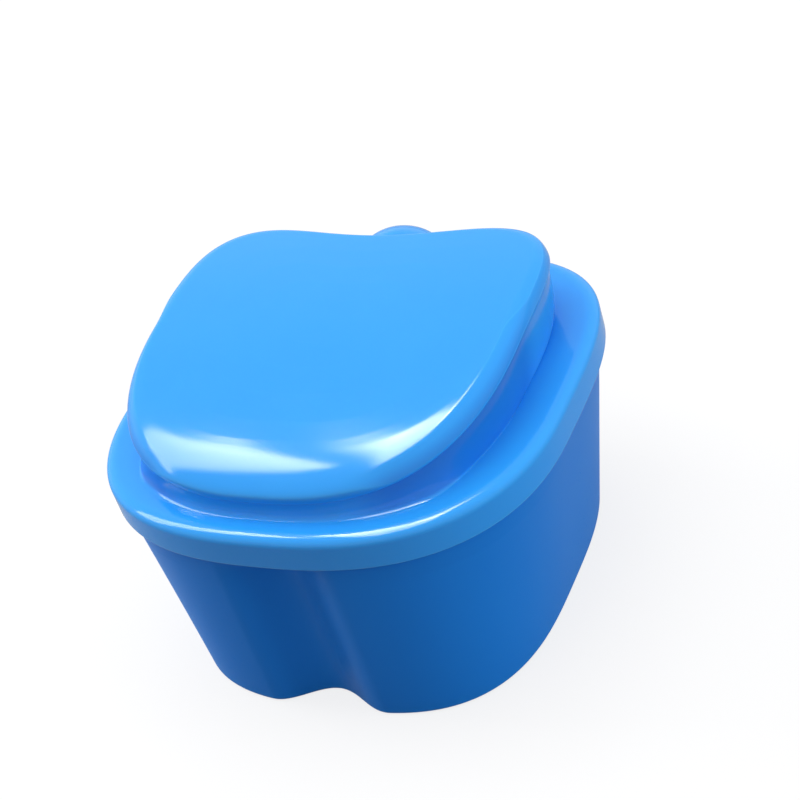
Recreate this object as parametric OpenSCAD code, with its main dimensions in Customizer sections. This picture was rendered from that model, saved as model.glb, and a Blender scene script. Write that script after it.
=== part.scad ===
// Denture soaking case: a tooth-shaped cup with a hinged lid and a lift-out strainer basket.
// Millimetres. +Z is up, -Y is the front, X is the case's plane of symmetry.
// The origin is on the standing surface, in the middle of the case's width and depth.

/* [Cup] */
// Width of the cup at its shoulder, just under the lid's skirt
cup_w = 101; // [98:0.5:115]
// Reach of the shoulder from the cup's widest line to the front
cup_front = 43.9; // [42:0.1:52]
// Reach of the shoulder from the cup's widest line to the back
cup_back = 51.2; // [49:0.1:60]
// Height of the cup
cup_h = 50.5; // [46:0.1:70]
// Width of the cup at its base
base_w = 84.6; // [76:0.2:98]
// Reach of the base from the widest line to the front
base_front = 43; // [36:0.1:43.8]
// Reach of the base from the widest line to the back
base_back = 47.8; // [40:0.1:51]
// Thickness of the cup's wall
cup_wall = 2.1; // [1.7:0.1:2.6]
// Thickness of the cup's floor
cup_floor = 2.2; // [1.4:0.1:4]
// Height of the recess under the floor, which leaves a foot all round
foot_recess = 0.8; // [0.3:0.1:2]
// Width of the foot
foot_w = 4.2; // [2.5:0.1:8]
// Fillet between the cup's floor and its wall, inside
floor_fillet = 3; // [1:0.1:4]
// Depth of the collar above the shoulder, which the lid's skirt goes over
collar_h = 5.8; // [4:0.1:8]
// Gap between the shoulder and the lid's skirt
shoulder_gap = 0.3; // [0.1:0.05:0.8]
// Depth of the groove between the two roots
groove_depth = 5.7; // [2:0.1:8]
// Width of the groove
groove_w = 29; // [20:0.5:36]
// Distance of the groove's top below the shoulder
groove_stop = 0.8; // [0.5:0.1:3]

/* [Lid] */
// Gap between the cup's collar and the lid's skirt
skirt_gap = 0.4; // [0.3:0.05:0.9]
// Thickness of the lid's skirt
skirt_wall = 1.6; // [1.4:0.1:2.2]
// Distance by which the skirt stands proud of the cup's shoulder
skirt_proud = 1.45; // [0.8:0.05:1.7]
// Gap between the cup's rim and the lid's land
seat_gap = 0.2; // [0.1:0.05:0.6]
// Thickness of the lid's land and top plate
lid_wall = 2; // [1.2:0.1:2.4]
// Width of the flat land round the neck
land_w = 5.5; // [4:0.1:7]
// Radius of the lid's rolled outer edge
roll_r = 1.8; // [0.6:0.1:2.5]
// Height of the top plate's crest above the land
crown_h = 17.3; // [15:0.1:30]
// Radius of the top plate's fore-and-aft curve
crown_r = 203; // [180:0.5:400]
// Width of the top plate
plate_w = 88.3; // [76:0.1:92]
// Reach of the top plate from the widest line of the cup to its front
plate_front = 39.1; // [35:0.1:40]
// Reach of the top plate from the widest line of the cup to its back
plate_back = 42.6; // [38:0.1:46]
// Depth of the dip in the plate's back edge
dip_depth = 6.6; // [0:0.1:9]
// Width of the dip in the plate's back edge
dip_w = 88; // [40:1:100]
// Rise of the plate's top above its widest line
edge_rise = 2.2; // [1:0.1:3]
// Drop of the plate's underside below its widest line
edge_drop = 2; // [0.8:0.1:2.4]
// Overhang of the plate beyond the neck
plate_overhang = 2.2; // [0.5:0.1:3]
// Width of the rounding along the plate's sides and back
edge_round = 1.3; // [0.6:0.1:3]
// Width of the rounding along the plate's front
front_round = 9; // [2:0.5:14]
// Width of the rounded boss behind the plate
boss_w = 22; // [16:0.2:23]
// Height of the boss's dome
boss_dome = 7.6; // [4:0.1:9]
// Height of the boss's top below the plate's crest
boss_drop = 3.2; // [2.6:0.1:8]
// Reach of the boss behind the cup's widest line
boss_reach = 50.6; // [46:0.1:50.8]

/* [Hinge] */
// Radius of the hinge's knuckle and ears
knuckle_r = 3.2; // [2.6:0.1:4]
// Radius of the hinge pin
pin_r = 1.25; // [0.8:0.05:1.8]
// Running clearance of the pin in the lid's knuckle
pin_clearance = 0.07; // [0.02:0.01:0.1]
// Clearance of the pin in the cup's ears, which hold it
pin_seat = 0.02; // [0.01:0.01:0.05]
// Length of the lid's knuckle
knuckle_len = 16; // [8:0.5:24]
// Thickness of each ear
ear_t = 4; // [2:0.1:8]
// Side clearance between the knuckle and each ear
knuckle_gap = 0.3; // [0.2:0.05:0.6]
// Clearance between the ears and the lid's skirt
hinge_gap = 0.35; // [0.3:0.05:1]
// Depth of the ears below the hinge's axis, along the cup's back
ear_drop = 11; // [8:0.5:20]
// Length of pin that shows beyond each ear
pin_proud = 0.6; // [0:0.1:2]

/* [Basket] */
// Gap between the basket and the cup's wall
basket_gap = 0.8; // [0.5:0.1:2]
// Thickness of the basket's wall
basket_wall = 1.6; // [1:0.1:2]
// Thickness of the basket's floor
basket_floor = 1.6; // [1:0.1:3]
// Height of the basket's feet
basket_foot_h = 2.5; // [1:0.1:5]
// Diameter of the basket's feet
basket_foot_d = 6; // [4:0.5:8]
// Distance of the feet from the basket's middle, across and along
foot_spread = 21; // [14:0.5:26]
// Depth of the basket's rim below the cup's rim
rim_depth = 4.8; // [4.4:0.1:8]
// Height of the thick rim of the basket
rim_h = 2.2; // [1:0.1:4]
// Extra thickness of the rim on its inner side
rim_bead = 0.9; // [0.3:0.1:1.5]
// Rows of slots in the basket's wall
slot_rows = 3; // [1:1:5]
// Height of the solid band between two rows of slots
slot_band = 3; // [1.5:0.1:6]
// Height of the solid band below the first row and above the last
edge_band = 4.5; // [2.5:0.1:8]
// Diameter of the holes in the basket's floor
hole_d = 4.4; // [2:0.1:6]
// Distance between the holes in the basket's floor
hole_pitch = 8.5; // [7.5:0.1:14]

/* [Handle] */
// Height of the bail's pivots above the basket's rim
pivot_rise = 0.8; // [0.4:0.1:1.2]
// Radius of the ears that carry the bail
bail_ear_r = 3.4; // [2.8:0.1:3.6]
// Thickness of those ears
bail_ear_t = 2; // [1.4:0.1:3]
// Radius of the bail's pivots
pivot_r = 1.5; // [1:0.1:2]
// Running clearance of the bail's pivots
pivot_clearance = 0.06; // [0.02:0.01:0.1]
// Side clearance between the bail and its ears
bail_gap = 0.3; // [0.2:0.05:0.6]
// Width of the bail's strap
bail_w = 2.6; // [1.8:0.1:4]
// Thickness of the bail's strap
bail_t = 2.4; // [1.6:0.1:3]
// Reach of the bail from its pivots to the middle of its front
bail_reach = 38.6; // [32:0.1:39.4]
// Extra width of the bail at its grip
grip_w = 3.5; // [0:0.1:6]
// Length of the grip
grip_len = 30; // [16:1:44]
// Height of the resting bail above the basket's rim
bail_seat = 0.2; // [0.1:0.05:0.5]

/* [Hidden] */
$fn = 48;

// Number of points round every outline, and how much they crowd at the front and back
around = 84;
crowding = 0.15;
// Squareness of the outlines: 2 is an ellipse, and more is squarer
front_square = 2.52;
back_square = 3.53;
base_front_square = 3;
base_back_square = 3.1;
plate_front_square = 2.56;
plate_back_square = 4.1;
dome_square = 1.6;
bail_square = 2.6;
// Distance of the plate's widest line behind the cup's
plate_shift = 5.1;
// Distance of the plate's crest behind the cup's widest line
crest_y = 23.4;
// Height over which the groove vaults out to the wall
groove_fade = 4.5;
// Small radii that break the mouldings' edges
edge_r = 0.5;
// Depth by which ears and arms run into the wall that carries them
bite = 1.1;

// Heights of the lid
land_under = cup_h + seat_gap;
land_top = land_under + lid_wall;
skirt_low = cup_h - collar_h;
shoulder_z = skirt_low - shoulder_gap;
groove_top = shoulder_z - groove_stop;
crest_z = land_top + crown_h;
boss_top = crest_z - boss_drop;
// Outline of the skirt, and the step from the shoulder in to the collar
skirt_front = cup_front + skirt_proud;
skirt_back = cup_back + skirt_proud;
collar_step = skirt_wall + skirt_gap - skirt_proud;
// Places of the hinge
hinge_y = skirt_back + knuckle_r + hinge_gap;
hinge_z = skirt_low;
ear_x = knuckle_len / 2 + knuckle_gap;
pin_len = 2 * (ear_x + ear_t + pin_proud);
// Shift that puts the origin in the middle of the case's depth
case_shift = (skirt_front - hinge_y - knuckle_r) / 2;
// Heights of the basket
cup_floor_top = foot_recess + cup_floor;
basket_low = cup_floor_top + basket_foot_h;
basket_floor_top = basket_low + basket_floor;
basket_top = cup_h - rim_depth;
// Places of the bail
pivot_z = basket_top + pivot_rise;
bail_low = basket_top + bail_seat;
bail_ear_x = inner_reach(basket_top) - rim_bead - bail_ear_t / 2 + edge_r;
bail_x = bail_ear_x - bail_ear_t / 2 - bail_gap - bail_w / 2;
bail_hole = 2 * (bail_ear_x + bail_ear_t / 2 + bail_gap);

// The directions of the points round an outline, crowded where the groove and the dip are
directions = [
    for (k = [0 : around - 1])
        let (turn = 360 * k / around)
        270 + turn - crowding * sin(2 * turn) * 180 / PI
];

function mix(a, b, t) = a + (b - a) * t;
function hump(x, width) = abs(x) < width / 2 ? (1 + cos(360 * x / width)) / 2 : 0;

// Distance from the middle to a rounded outline, with its own reach and squareness at each end
function bow(phi, half_w, front, back, n_front, n_back) =
    let (reach = sin(phi) < 0 ? front : back)
    let (n = sin(phi) < 0 ? n_front : n_back)
    pow(pow(abs(cos(phi)) / half_w, n) + pow(abs(sin(phi)) / reach, n), -1 / n);

// How far a height is on the way from the base to the shoulder, above which the cup is upright
function climb(z) = min(z / shoulder_z, 1);

// A point of the cup's outline at height z, inset from the outside, with a share of the groove
function cup_point(phi, z, inset, groove) =
    let (t = climb(z))
    let (r = bow(phi, mix(base_w, cup_w, t) / 2 - inset, mix(base_front, cup_front, t) - inset,
        mix(base_back, cup_back, t) - inset, mix(base_front_square, front_square, t),
        mix(base_back_square, back_square, t)))
    let (x = r * cos(phi))
    let (dent = sin(phi) < 0 ? groove * groove_depth * hump(x, groove_w) : 0)
    [x, r * sin(phi) + dent, z];

function cup_ring(z, inset, groove = 1) = [for (phi = directions) cup_point(phi, z, inset, groove)];

// Half the width between the basket's walls at height z
function inner_reach(z) = mix(base_w, cup_w, climb(z)) / 2 - cup_wall - basket_gap - basket_wall;

// Joins closed rings of points into a solid: its ends are flat, and its outside is on the rings' way down
module skin(rings) {
    n = len(rings[0]);
    last = len(rings) - 1;
    sides = [
        for (i = [0 : last - 1], k = [0 : n - 1])
            let (a = i * n + k, b = i * n + (k + 1) % n)
            each [[a, b, b + n], [a, b + n, a + n]]
    ];
    first_end = [for (k = [0 : n - 1]) n - 1 - k];
    last_end = [for (k = [0 : n - 1]) last * n + k];
    polyhedron([for (ring = rings) each ring], concat([first_end], sides, [last_end]));
}

// The cup's rings, from the middle of its floor, up the inside and down the outside
cup_rings = concat(
    [
        for (a = [0 : 30 : 90])
            cup_ring(cup_floor_top + floor_fillet * (1 - cos(a)), cup_wall + floor_fillet * (1 - sin(a)))
    ],
    [
        for (a = [0 : 22.5 : 90])
            cup_ring(groove_top + cup_wall - groove_fade * (1 - sin(a)), cup_wall, cos(a))
    ],
    [
        cup_ring(cup_h - edge_r, cup_wall, 0),
        cup_ring(cup_h, cup_wall - edge_r, 0),
        cup_ring(cup_h, collar_step + edge_r, 0),
        cup_ring(cup_h - edge_r, collar_step, 0),
        cup_ring(shoulder_z, collar_step, 0),
        cup_ring(shoulder_z, collar_step / 2, 0),
        cup_ring(shoulder_z - collar_step / 2, 0, 0)
    ],
    [
        for (a = [90 : -22.5 : 0])
            cup_ring(groove_top - groove_fade * (1 - sin(a)), 0, cos(a))
    ],
    [
        cup_ring(edge_r * 1.6, 0),
        cup_ring(edge_r * 0.5, edge_r * 0.5),
        cup_ring(0, edge_r * 1.6),
        cup_ring(0, foot_w),
        cup_ring(foot_recess, foot_w + foot_recess)
    ]
);

// A hinge ear's or arm's side view: a round on the axis, and a web of the given points, extruded
module hinge_leaf(x, thickness, web) {
    translate([x, hinge_y, hinge_z])
        rotate([90, 0, 90])
        linear_extrude(thickness) {
            circle(knuckle_r);
            polygon(web);
        }
}

module hinge_bore(r) {
    translate([-pin_len / 2 - 1, hinge_y, hinge_z])
        rotate([0, 90, 0])
        cylinder(r = r, h = pin_len + 2);
}

// The outside of the cup's back at a height, seen from the hinge's axis
function back_wall(z) = mix(base_back, cup_back, climb(z)) - hinge_y;

module cup() {
    ear_top = -hinge_gap;
    ear_low = -ear_drop;
    web = [
        [knuckle_r * cos(-40), knuckle_r * sin(-40)],
        [0, ear_top + hinge_gap],
        [-knuckle_r, ear_top],
        [back_wall(hinge_z) - bite, ear_top],
        [back_wall(hinge_z - ear_drop) - bite, ear_low],
        [back_wall(hinge_z - ear_drop), ear_low]
    ];
    color("#2f86dc")
        translate([0, case_shift, 0])
        difference() {
            union() {
                skin(cup_rings);
                hinge_leaf(ear_x, ear_t, web);
                hinge_leaf(-ear_x - ear_t, ear_t, web);
            }
            hinge_bore(pin_r + pin_seat);
        }
}

// A point of the lid's outline at its skirt and land
function lid_point(phi, z, inset) =
    let (r = bow(phi, cup_w / 2 + skirt_proud - inset, skirt_front - inset, skirt_back - inset,
        front_square, back_square))
    [r * cos(phi), r * sin(phi), z];

function lid_ring(z, inset) = [for (phi = directions) lid_point(phi, z, inset)];

// A point of the top plate's outline, before its height is known
function plate_flat(phi, inset) =
    let (r = bow(phi, plate_w / 2 - inset, plate_front + plate_shift - inset,
        plate_back - plate_shift - inset, plate_front_square, plate_back_square))
    let (x = r * cos(phi))
    let (dip = sin(phi) > 0 ? dip_depth * hump(x, dip_w) : 0)
    [x, plate_shift + r * sin(phi) - dip];

// Height of the top plate's surface
function crown_z(y) = crest_z - pow(y - crest_y, 2) / (2 * crown_r);

function raised(p, rise) = [p[0], p[1], crown_z(p[1]) + rise];

// Width of the plate's rounding: wide at the front and narrow elsewhere
function rounding(phi) = mix(edge_round, front_round, pow(max(0, -sin(phi)), 2));

// The plate's top inside its rounding, as a share of the way from its middle to its edge
function top_ring(share, rise, inset) = [
    for (phi = directions)
        let (p = plate_flat(phi, inset > 0 ? inset : rounding(phi)))
        raised([p[0] * share, mix(plate_shift, p[1], share)], rise)
];

// The plate's rounded upper edge, from its top (0) to its widest line (90)
function upper_edge(a) = [
    for (phi = directions)
        raised(plate_flat(phi, rounding(phi) * (1 - sin(a))), -edge_rise * (1 - cos(a)))
];

// The plate's lower edge, from its widest line (0) to its underside (90)
function lower_edge(a) = [
    for (phi = directions)
        raised(plate_flat(phi, plate_overhang * (1 - cos(a))), -edge_rise - edge_drop * sin(a))
];

// The neck: a hollow curve from the land (0) up to the plate (90)
function neck_ring(a, inset, foot_z, head_drop) = [
    for (phi = directions)
        let (foot = lid_point(phi, foot_z, land_w + inset))
        let (head = raised(plate_flat(phi, plate_overhang + inset), -head_drop))
        [mix(foot[0], head[0], sin(a)), mix(foot[1], head[1], sin(a)), mix(foot[2], head[2], 1 - cos(a))]
];

// The lid's rings, from the middle of its top, down the outside and up the inside
lid_rings = concat(
    [for (share = [0.02, 0.3, 0.6, 0.85]) top_ring(share, 0, 0)],
    [for (a = [0 : 30 : 90]) upper_edge(a)],
    [for (a = [45, 90]) lower_edge(a)],
    [for (a = [75 : -15 : 0]) neck_ring(a, 0, land_top, edge_rise + edge_drop)],
    [for (a = [0 : 30 : 90]) lid_ring(land_top - roll_r * (1 - cos(a)), roll_r * (1 - sin(a)))],
    [
        lid_ring(skirt_low + edge_r, 0),
        lid_ring(skirt_low, edge_r),
        lid_ring(skirt_low, skirt_wall - edge_r),
        lid_ring(skirt_low + edge_r, skirt_wall),
        lid_ring(land_under, skirt_wall)
    ],
    [for (a = [0 : 18 : 90]) neck_ring(a, lid_wall, land_under, lid_wall)],
    [for (share = [0.7, 0.35, 0.02]) top_ring(share, -lid_wall, plate_overhang + lid_wall)]
);

// Rings in the middle of the wall of the crown, which part the boss from the hollow under the plate
crown_rings = concat(
    [top_ring(0.02, -lid_wall / 2, plate_overhang + lid_wall / 2)],
    [for (a = [90 : -18 : 0]) neck_ring(a, lid_wall / 2, land_under + lid_wall / 2, lid_wall / 2)],
    [lid_ring(land_under - 1, land_w + lid_wall / 2)]
);

// The domed column behind the plate's dip, from a height up
module boss(inset, low) {
    r = boss_w / 2 - inset;
    dome = [
        for (a = [0 : 15 : 90])
            let (across = pow(cos(a), 2 / dome_square), up = pow(sin(a), 2 / dome_square))
            [r * across, boss_top - boss_dome + (boss_dome - inset) * up]
    ];
    translate([0, boss_reach - boss_w / 2, 0])
        rotate_extrude()
        polygon(concat([[0, low], [r, low]], dome));
}

module lid() {
    // The arm's web from the knuckle to the skirt, seen from the hinge's axis
    web = [
        [-knuckle_r - hinge_gap - bite, 0],
        [0, -knuckle_r],
        [knuckle_r, 0],
        [knuckle_r * cos(60), knuckle_r * sin(60)],
        [-knuckle_r - hinge_gap - bite, land_top - roll_r - hinge_z]
    ];
    color("#3d9bf0")
        translate([0, case_shift, 0])
        difference() {
            union() {
                skin(lid_rings);
                difference() {
                    boss(0, land_under + lid_wall / 2);
                    skin(crown_rings);
                }
                hinge_leaf(-knuckle_len / 2, knuckle_len, web);
            }
            boss(lid_wall, land_under - 1);
            hinge_bore(pin_r + pin_clearance);
        }
}

module hinge_pin() {
    color("#c9ced3")
        translate([-pin_len / 2, case_shift + hinge_y, hinge_z])
        rotate([0, 90, 0])
        cylinder(r = pin_r, h = pin_len);
}

// Heights of the basket's wall: floor, slot rows and rim
slot_low = basket_floor_top + edge_band;
slot_high = basket_top - rim_h - edge_band;
slot_h = (slot_high - slot_low - (slot_rows - 1) * slot_band) / slot_rows;
wall_levels = concat(
    [basket_floor_top],
    [
        for (i = [0 : slot_rows - 1])
            let (z = slot_low + i * (slot_h + slot_band))
            each [z, z + slot_h]
    ],
    [basket_top - rim_h - rim_bead]
);

// The basket's wall is a grid of cells between two skins. Every second cell of a row is open, the same
// on both sides, and the wall stays whole in the middle of its front and back
module slotted_wall() {
    n = around;
    rows = len(wall_levels);
    outer = cup_wall + basket_gap;
    inner = outer + basket_wall;
    outside = concat(
        [cup_ring(basket_low, outer + edge_r)],
        [for (z = wall_levels) cup_ring(z, outer)],
        [cup_ring(basket_top - edge_r, outer), cup_ring(basket_top, outer + edge_r)]
    );
    inside = concat(
        [cup_ring(basket_floor_top, inner + edge_r * 2), cup_ring(basket_floor_top + edge_r * 2, inner)],
        [for (i = [1 : rows - 1]) cup_ring(wall_levels[i], inner)],
        [cup_ring(basket_top - rim_h, inner + rim_bead), cup_ring(basket_top, inner + rim_bead)]
    );
    count = rows + 3;
    points = concat([for (ring = outside) each ring], [for (ring = inside) each ring]);
    // Indices of the outer and inner point of level i at direction k
    out = function (i, k) i * n + (k % n);
    in = function (i, k) (count + i) * n + (k % n);
    from_middle = function (k) min(k, n - 1 - k);
    open = function (i, k) i >= 2 && i < rows && i % 2 == 0 && from_middle(k) >= 2 && from_middle(k) % 2 == 0;
    quad = function (a, b, c, d) [[a, c, b], [a, d, c]];
    faces = [
        for (i = [0 : count - 2], k = [0 : n - 1])
            each open(i, k)
                ? concat(
                    quad(out(i, k), out(i, k + 1), in(i, k + 1), in(i, k)),
                    quad(out(i + 1, k), in(i + 1, k), in(i + 1, k + 1), out(i + 1, k + 1)),
                    quad(out(i, k), in(i, k), in(i + 1, k), out(i + 1, k)),
                    quad(out(i, k + 1), out(i + 1, k + 1), in(i + 1, k + 1), in(i, k + 1))
                )
                : concat(
                    quad(out(i, k), out(i, k + 1), out(i + 1, k + 1), out(i + 1, k)),
                    quad(in(i, k), in(i + 1, k), in(i + 1, k + 1), in(i, k + 1))
                )
    ];
    brim = [
        for (k = [0 : n - 1])
            each quad(out(count - 1, k), out(count - 1, k + 1), in(count - 1, k + 1), in(count - 1, k))
    ];
    under = [for (k = [0 : n - 1]) out(0, k)];
    over = [for (k = [0 : n - 1]) in(0, n - 1 - k)];
    polyhedron(points, concat([under], faces, brim, [over]));
}

// Places of the floor's holes: staggered rows that keep off the wall, the groove and the feet
function on_floor(x, y) =
    let (margin = cup_wall + basket_gap + basket_wall + hole_d / 2 + edge_band / 2)
    let (phi = atan2(y, x))
    let (edge = cup_point(phi, basket_low, margin, 1))
    norm([x, y]) < norm([edge[0], edge[1]]) && !(y < 0 && y < edge[1] + groove_depth * hump(x, groove_w));

feet = [for (x = [-foot_spread, foot_spread], y = [-foot_spread, foot_spread]) [x, y]];
function off_feet(x, y) =
    min([for (f = feet) norm([x - f[0], y - f[1]])]) > (basket_foot_d + hole_d) / 2 + edge_r;

hole_rows = ceil(cup_back / hole_pitch);
holes = [
    for (j = [-hole_rows : hole_rows], i = [-hole_rows : hole_rows])
        let (x = (i + (j % 2 == 0 ? 0 : 0.5)) * hole_pitch, y = j * hole_pitch * sin(60))
        if (on_floor(x, y) && off_feet(x, y)) [x, y]
];

module bail_ear() {
    foot = pivot_z - basket_top + rim_h;
    translate([bail_ear_x - bail_ear_t / 2, 0, pivot_z])
        rotate([90, 0, 90])
        linear_extrude(bail_ear_t) {
            circle(bail_ear_r);
            translate([-bail_ear_r, -foot])
                square([2 * bail_ear_r, foot]);
        }
}

module strainer_basket() {
    color("#f4f6f7")
        translate([0, case_shift, 0])
        difference() {
            union() {
                slotted_wall();
                bail_ear();
                mirror([1, 0, 0])
                    bail_ear();
                for (f = feet)
                    translate([f[0], f[1], cup_floor_top])
                        cylinder(d = basket_foot_d, h = basket_foot_h + basket_floor / 2);
            }
            for (h = holes)
                translate([h[0], h[1], basket_low - 1])
                    cylinder(d = hole_d, h = basket_floor + 2);
            translate([-bail_hole / 2, 0, pivot_z])
                rotate([0, 90, 0])
                cylinder(r = pivot_r + pivot_clearance, h = bail_hole);
        }
}

// The bail's outline from above, inset from the middle of its strap
function bail_side(inset, grip) = [
    for (k = [0 : around / 2])
        let (phi = 180 + 360 * k / around)
        let (r = bow(phi, bail_x - inset, bail_reach - inset, bail_reach, bail_square, 2))
        let (x = r * cos(phi))
        [x, r * sin(phi) + grip * hump(x, grip_len)]
];

module basket_handle() {
    outer = bail_side(-bail_w / 2, 0);
    inner = bail_side(bail_w / 2, grip_w);
    color("#eceff1")
        translate([0, case_shift, 0]) {
            translate([0, 0, bail_low])
                linear_extrude(bail_t)
                polygon(concat(outer, [for (k = [len(inner) - 1 : -1 : 0]) inner[k]]));
            for (side = [-1, 1])
                translate([side * bail_x, 0, pivot_z])
                rotate([0, side * 90, 0]) {
                    translate([0, 0, -bail_w / 2])
                        cylinder(r = bail_ear_r - bail_gap, h = bail_w);
                    cylinder(r = pivot_r, h = bail_w / 2 + bail_gap + bail_ear_t);
                }
        }
}

cup();
lid();
hinge_pin();
strainer_basket();
basket_handle();
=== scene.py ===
"""Looks of the tooth-shaped denture soaking case.

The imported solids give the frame. Every surface here is worked out again on a finer grid from the
same sizes, in millimetres about the cup's widest line, and laid over its solid in metres.
"""
import logging
import math
from dataclasses import dataclass, field
from enum import Enum
from typing import Iterable, Optional, Sequence, Union

import bpy
import numpy as np
from mathutils import Matrix, Vector


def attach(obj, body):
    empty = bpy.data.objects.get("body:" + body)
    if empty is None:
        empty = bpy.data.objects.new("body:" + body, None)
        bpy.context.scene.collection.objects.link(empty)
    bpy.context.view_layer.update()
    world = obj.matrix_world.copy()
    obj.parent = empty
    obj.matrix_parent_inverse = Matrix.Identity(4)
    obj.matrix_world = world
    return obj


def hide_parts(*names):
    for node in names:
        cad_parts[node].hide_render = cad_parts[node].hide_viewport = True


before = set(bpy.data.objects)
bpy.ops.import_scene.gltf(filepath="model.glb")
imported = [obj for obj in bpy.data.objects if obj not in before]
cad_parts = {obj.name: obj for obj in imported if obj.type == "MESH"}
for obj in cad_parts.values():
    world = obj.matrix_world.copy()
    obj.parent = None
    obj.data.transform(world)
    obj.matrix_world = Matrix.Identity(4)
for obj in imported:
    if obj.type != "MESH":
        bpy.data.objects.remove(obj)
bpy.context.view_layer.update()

LOG = logging.getLogger("denture_case")
Array = np.ndarray
Number = Union[int, float]
Pair = tuple[float, float]

MM = 0.001
# Moves the cup's widest line so that the origin is in the middle of the case's depth
CASE_SHIFT = -7.025
TURN = 2 * math.pi


class Body(Enum):
    """The moving bodies of the case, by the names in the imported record."""

    CUP = "cup"
    LID = "lid"
    BASKET = "basket"
    BAIL = "bail"


class Slot(Enum):
    """The record's material slots."""

    BLUE = "blue_plastic"
    WHITE = "white_plastic"
    STEEL = "pin_steel"


# ---------------------------------------------------------------------------
# Shape maths
# ---------------------------------------------------------------------------


def mix(a: Union[Number, Array], b: Union[Number, Array], t: Union[Number, Array]) -> Union[Number, Array]:
    """The value that lies a share t of the way from a to b."""
    return a + (b - a) * t


def hump(x: Array, width: float) -> Array:
    """A raised cosine: 1 at x = 0, falling smoothly to 0 at half the width on each side."""
    return np.where(np.abs(x) < width / 2, (1 + np.cos(TURN * x / width)) / 2, 0.0)


def quarter(count: int) -> Array:
    """Evenly spaced angles of a quarter turn in radians, both ends included."""
    return np.linspace(0, math.pi / 2, count)


def quadrant(start: Pair, end: Pair, count: int = 5, upright: bool = False, square: float = 2.0,
             first: float = 0.0) -> list[Pair]:
    """Points along a quarter of a superellipse.

    At turn a it has done the share sin(a)^(2 / n) of the way across and 1 - cos(a)^(2 / n) of the
    way in height, or the other way round where it leaves its start upright.

    Args:
        start: where it starts, as (across, height).
        end: where it ends.
        count: number of points.
        upright: leaves the start upright and ends level.
        square: the power n; 2 gives a quarter ellipse.
        first: turn of the first point.

    Returns:
        The (across, height) pairs.
    """
    a = np.linspace(first, math.pi / 2, count)
    quick = np.sin(a) ** (2 / square)
    slow = 1 - np.maximum(np.cos(a), 0) ** (2 / square)
    across, height = (slow, quick) if upright else (quick, slow)
    return list(zip(mix(start[0], end[0], across).tolist(), mix(start[1], end[1], height).tolist()))


def smooth_step(x: Array, start: Union[float, Array], width: Union[float, Array]) -> Array:
    """Rises smoothly from 0 at the start to 1 a width further: 3 t^2 - 2 t^3."""
    t = np.clip((x - start) / width, 0, 1)
    return t * t * (3 - 2 * t)


def directions(count: int, crowding: float = 0.15) -> Array:
    """Angles round an outline, crowded at its front and back.

    The angle is 3/4 turn plus t minus crowding * sin(2 t), for t evenly spaced over a full turn.

    Args:
        count: number of directions.
        crowding: how much closer they are at the front and back.

    Returns:
        The angles in radians, starting at the front.
    """
    t = np.arange(count) / count * TURN
    return 1.5 * math.pi + t - crowding * np.sin(2 * t)


@dataclass(frozen=True)
class Outline:
    """An outline seen from above: two half superellipses that meet on its widest line."""

    half: float
    front: float
    back: float
    front_square: float
    back_square: float
    middle: float = 0.0

    def toward(self, other: "Outline", t: Array, phi: Array, inset: Array) -> tuple[Array, Array]:
        """Points of the outline a share t of the way to another outline, inset from its edge.

        The distance r solves (|r cos| / a)^n + (|r sin| / b)^n = 1, with a, b and n mixed by t,
        and b and n taken from the front or back half by the sign of the sine.

        Args:
            other: the outline at t = 1.
            t: shares of the way, one for each ring, as a column.
            phi: directions round the outline, as a row.
            inset: distance from the edge, one for each ring, as a column.

        Returns:
            The x and y of every point, as grids of rings by directions.
        """
        ahead = np.sin(phi) < 0
        reach = np.where(ahead, mix(self.front, other.front, t), mix(self.back, other.back, t)) - inset
        square = np.where(ahead, mix(self.front_square, other.front_square, t),
                          mix(self.back_square, other.back_square, t))
        side = mix(self.half, other.half, t) - inset
        total = (np.abs(np.cos(phi)) / side) ** square + (np.abs(np.sin(phi)) / reach) ** square
        r = total ** (-1 / square)
        return r * np.cos(phi), mix(self.middle, other.middle, t) + r * np.sin(phi)

    def points(self, phi: Array, inset: Union[float, Array]) -> tuple[Array, Array]:
        """Points of the outline itself, inset from its edge."""
        return self.toward(self, np.zeros((1, 1)), phi, np.atleast_2d(inset))


def column(values: Iterable[float]) -> Array:
    """Numbers as a column, one for each ring."""
    return np.array(list(values), float).reshape(-1, 1)


def guarded(rings: Array, gap: float = 0.14, longest: float = 1.0) -> Array:
    """Adds a ring close to each end of every long straight stretch, so that smooth shading keeps it flat.

    Args:
        rings: grid of points, rings by directions by xyz.
        gap: distance of the added ring from the stretch's end, in millimetres.
        longest: stretches up to this long are left alone.

    Returns:
        The grid with the added rings.
    """
    spans = np.linalg.norm(np.diff(rings, axis=0), axis=2).mean(axis=1)
    rows = [rings[:1]]
    for i, span in enumerate(spans):
        if span > longest:
            t = gap / span
            rows += [mix(rings[i], rings[i + 1], t)[None], mix(rings[i], rings[i + 1], 1 - t)[None]]
        rows.append(rings[i + 1:i + 2])
    return np.concatenate(rows)


def edge_strength(rings: Array) -> Array:
    """How convex the surface is along its profile: 0 where flat or hollow, towards 1 on tight edges.

    The turn between the two neighbouring steps, taken against the outward normal, over their mean length.
    """
    before = np.diff(rings, axis=0, prepend=rings[:1])
    after = np.diff(rings, axis=0, append=rings[-1:])
    round_step = np.roll(rings, -1, axis=1) - np.roll(rings, 1, axis=1)
    normal = np.cross(after + before, round_step)
    normal /= np.linalg.norm(normal, axis=2, keepdims=True) + 1e-9
    lengths = [np.linalg.norm(step, axis=2, keepdims=True) + 1e-6 for step in (before, after)]
    bend = 2 * (after / lengths[1] - before / lengths[0]) / (lengths[0] + lengths[1])
    strength = -(bend * normal).sum(axis=2)
    strength[[0, -1]] = 0
    return np.clip(strength * 0.9, 0, 1)


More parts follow.
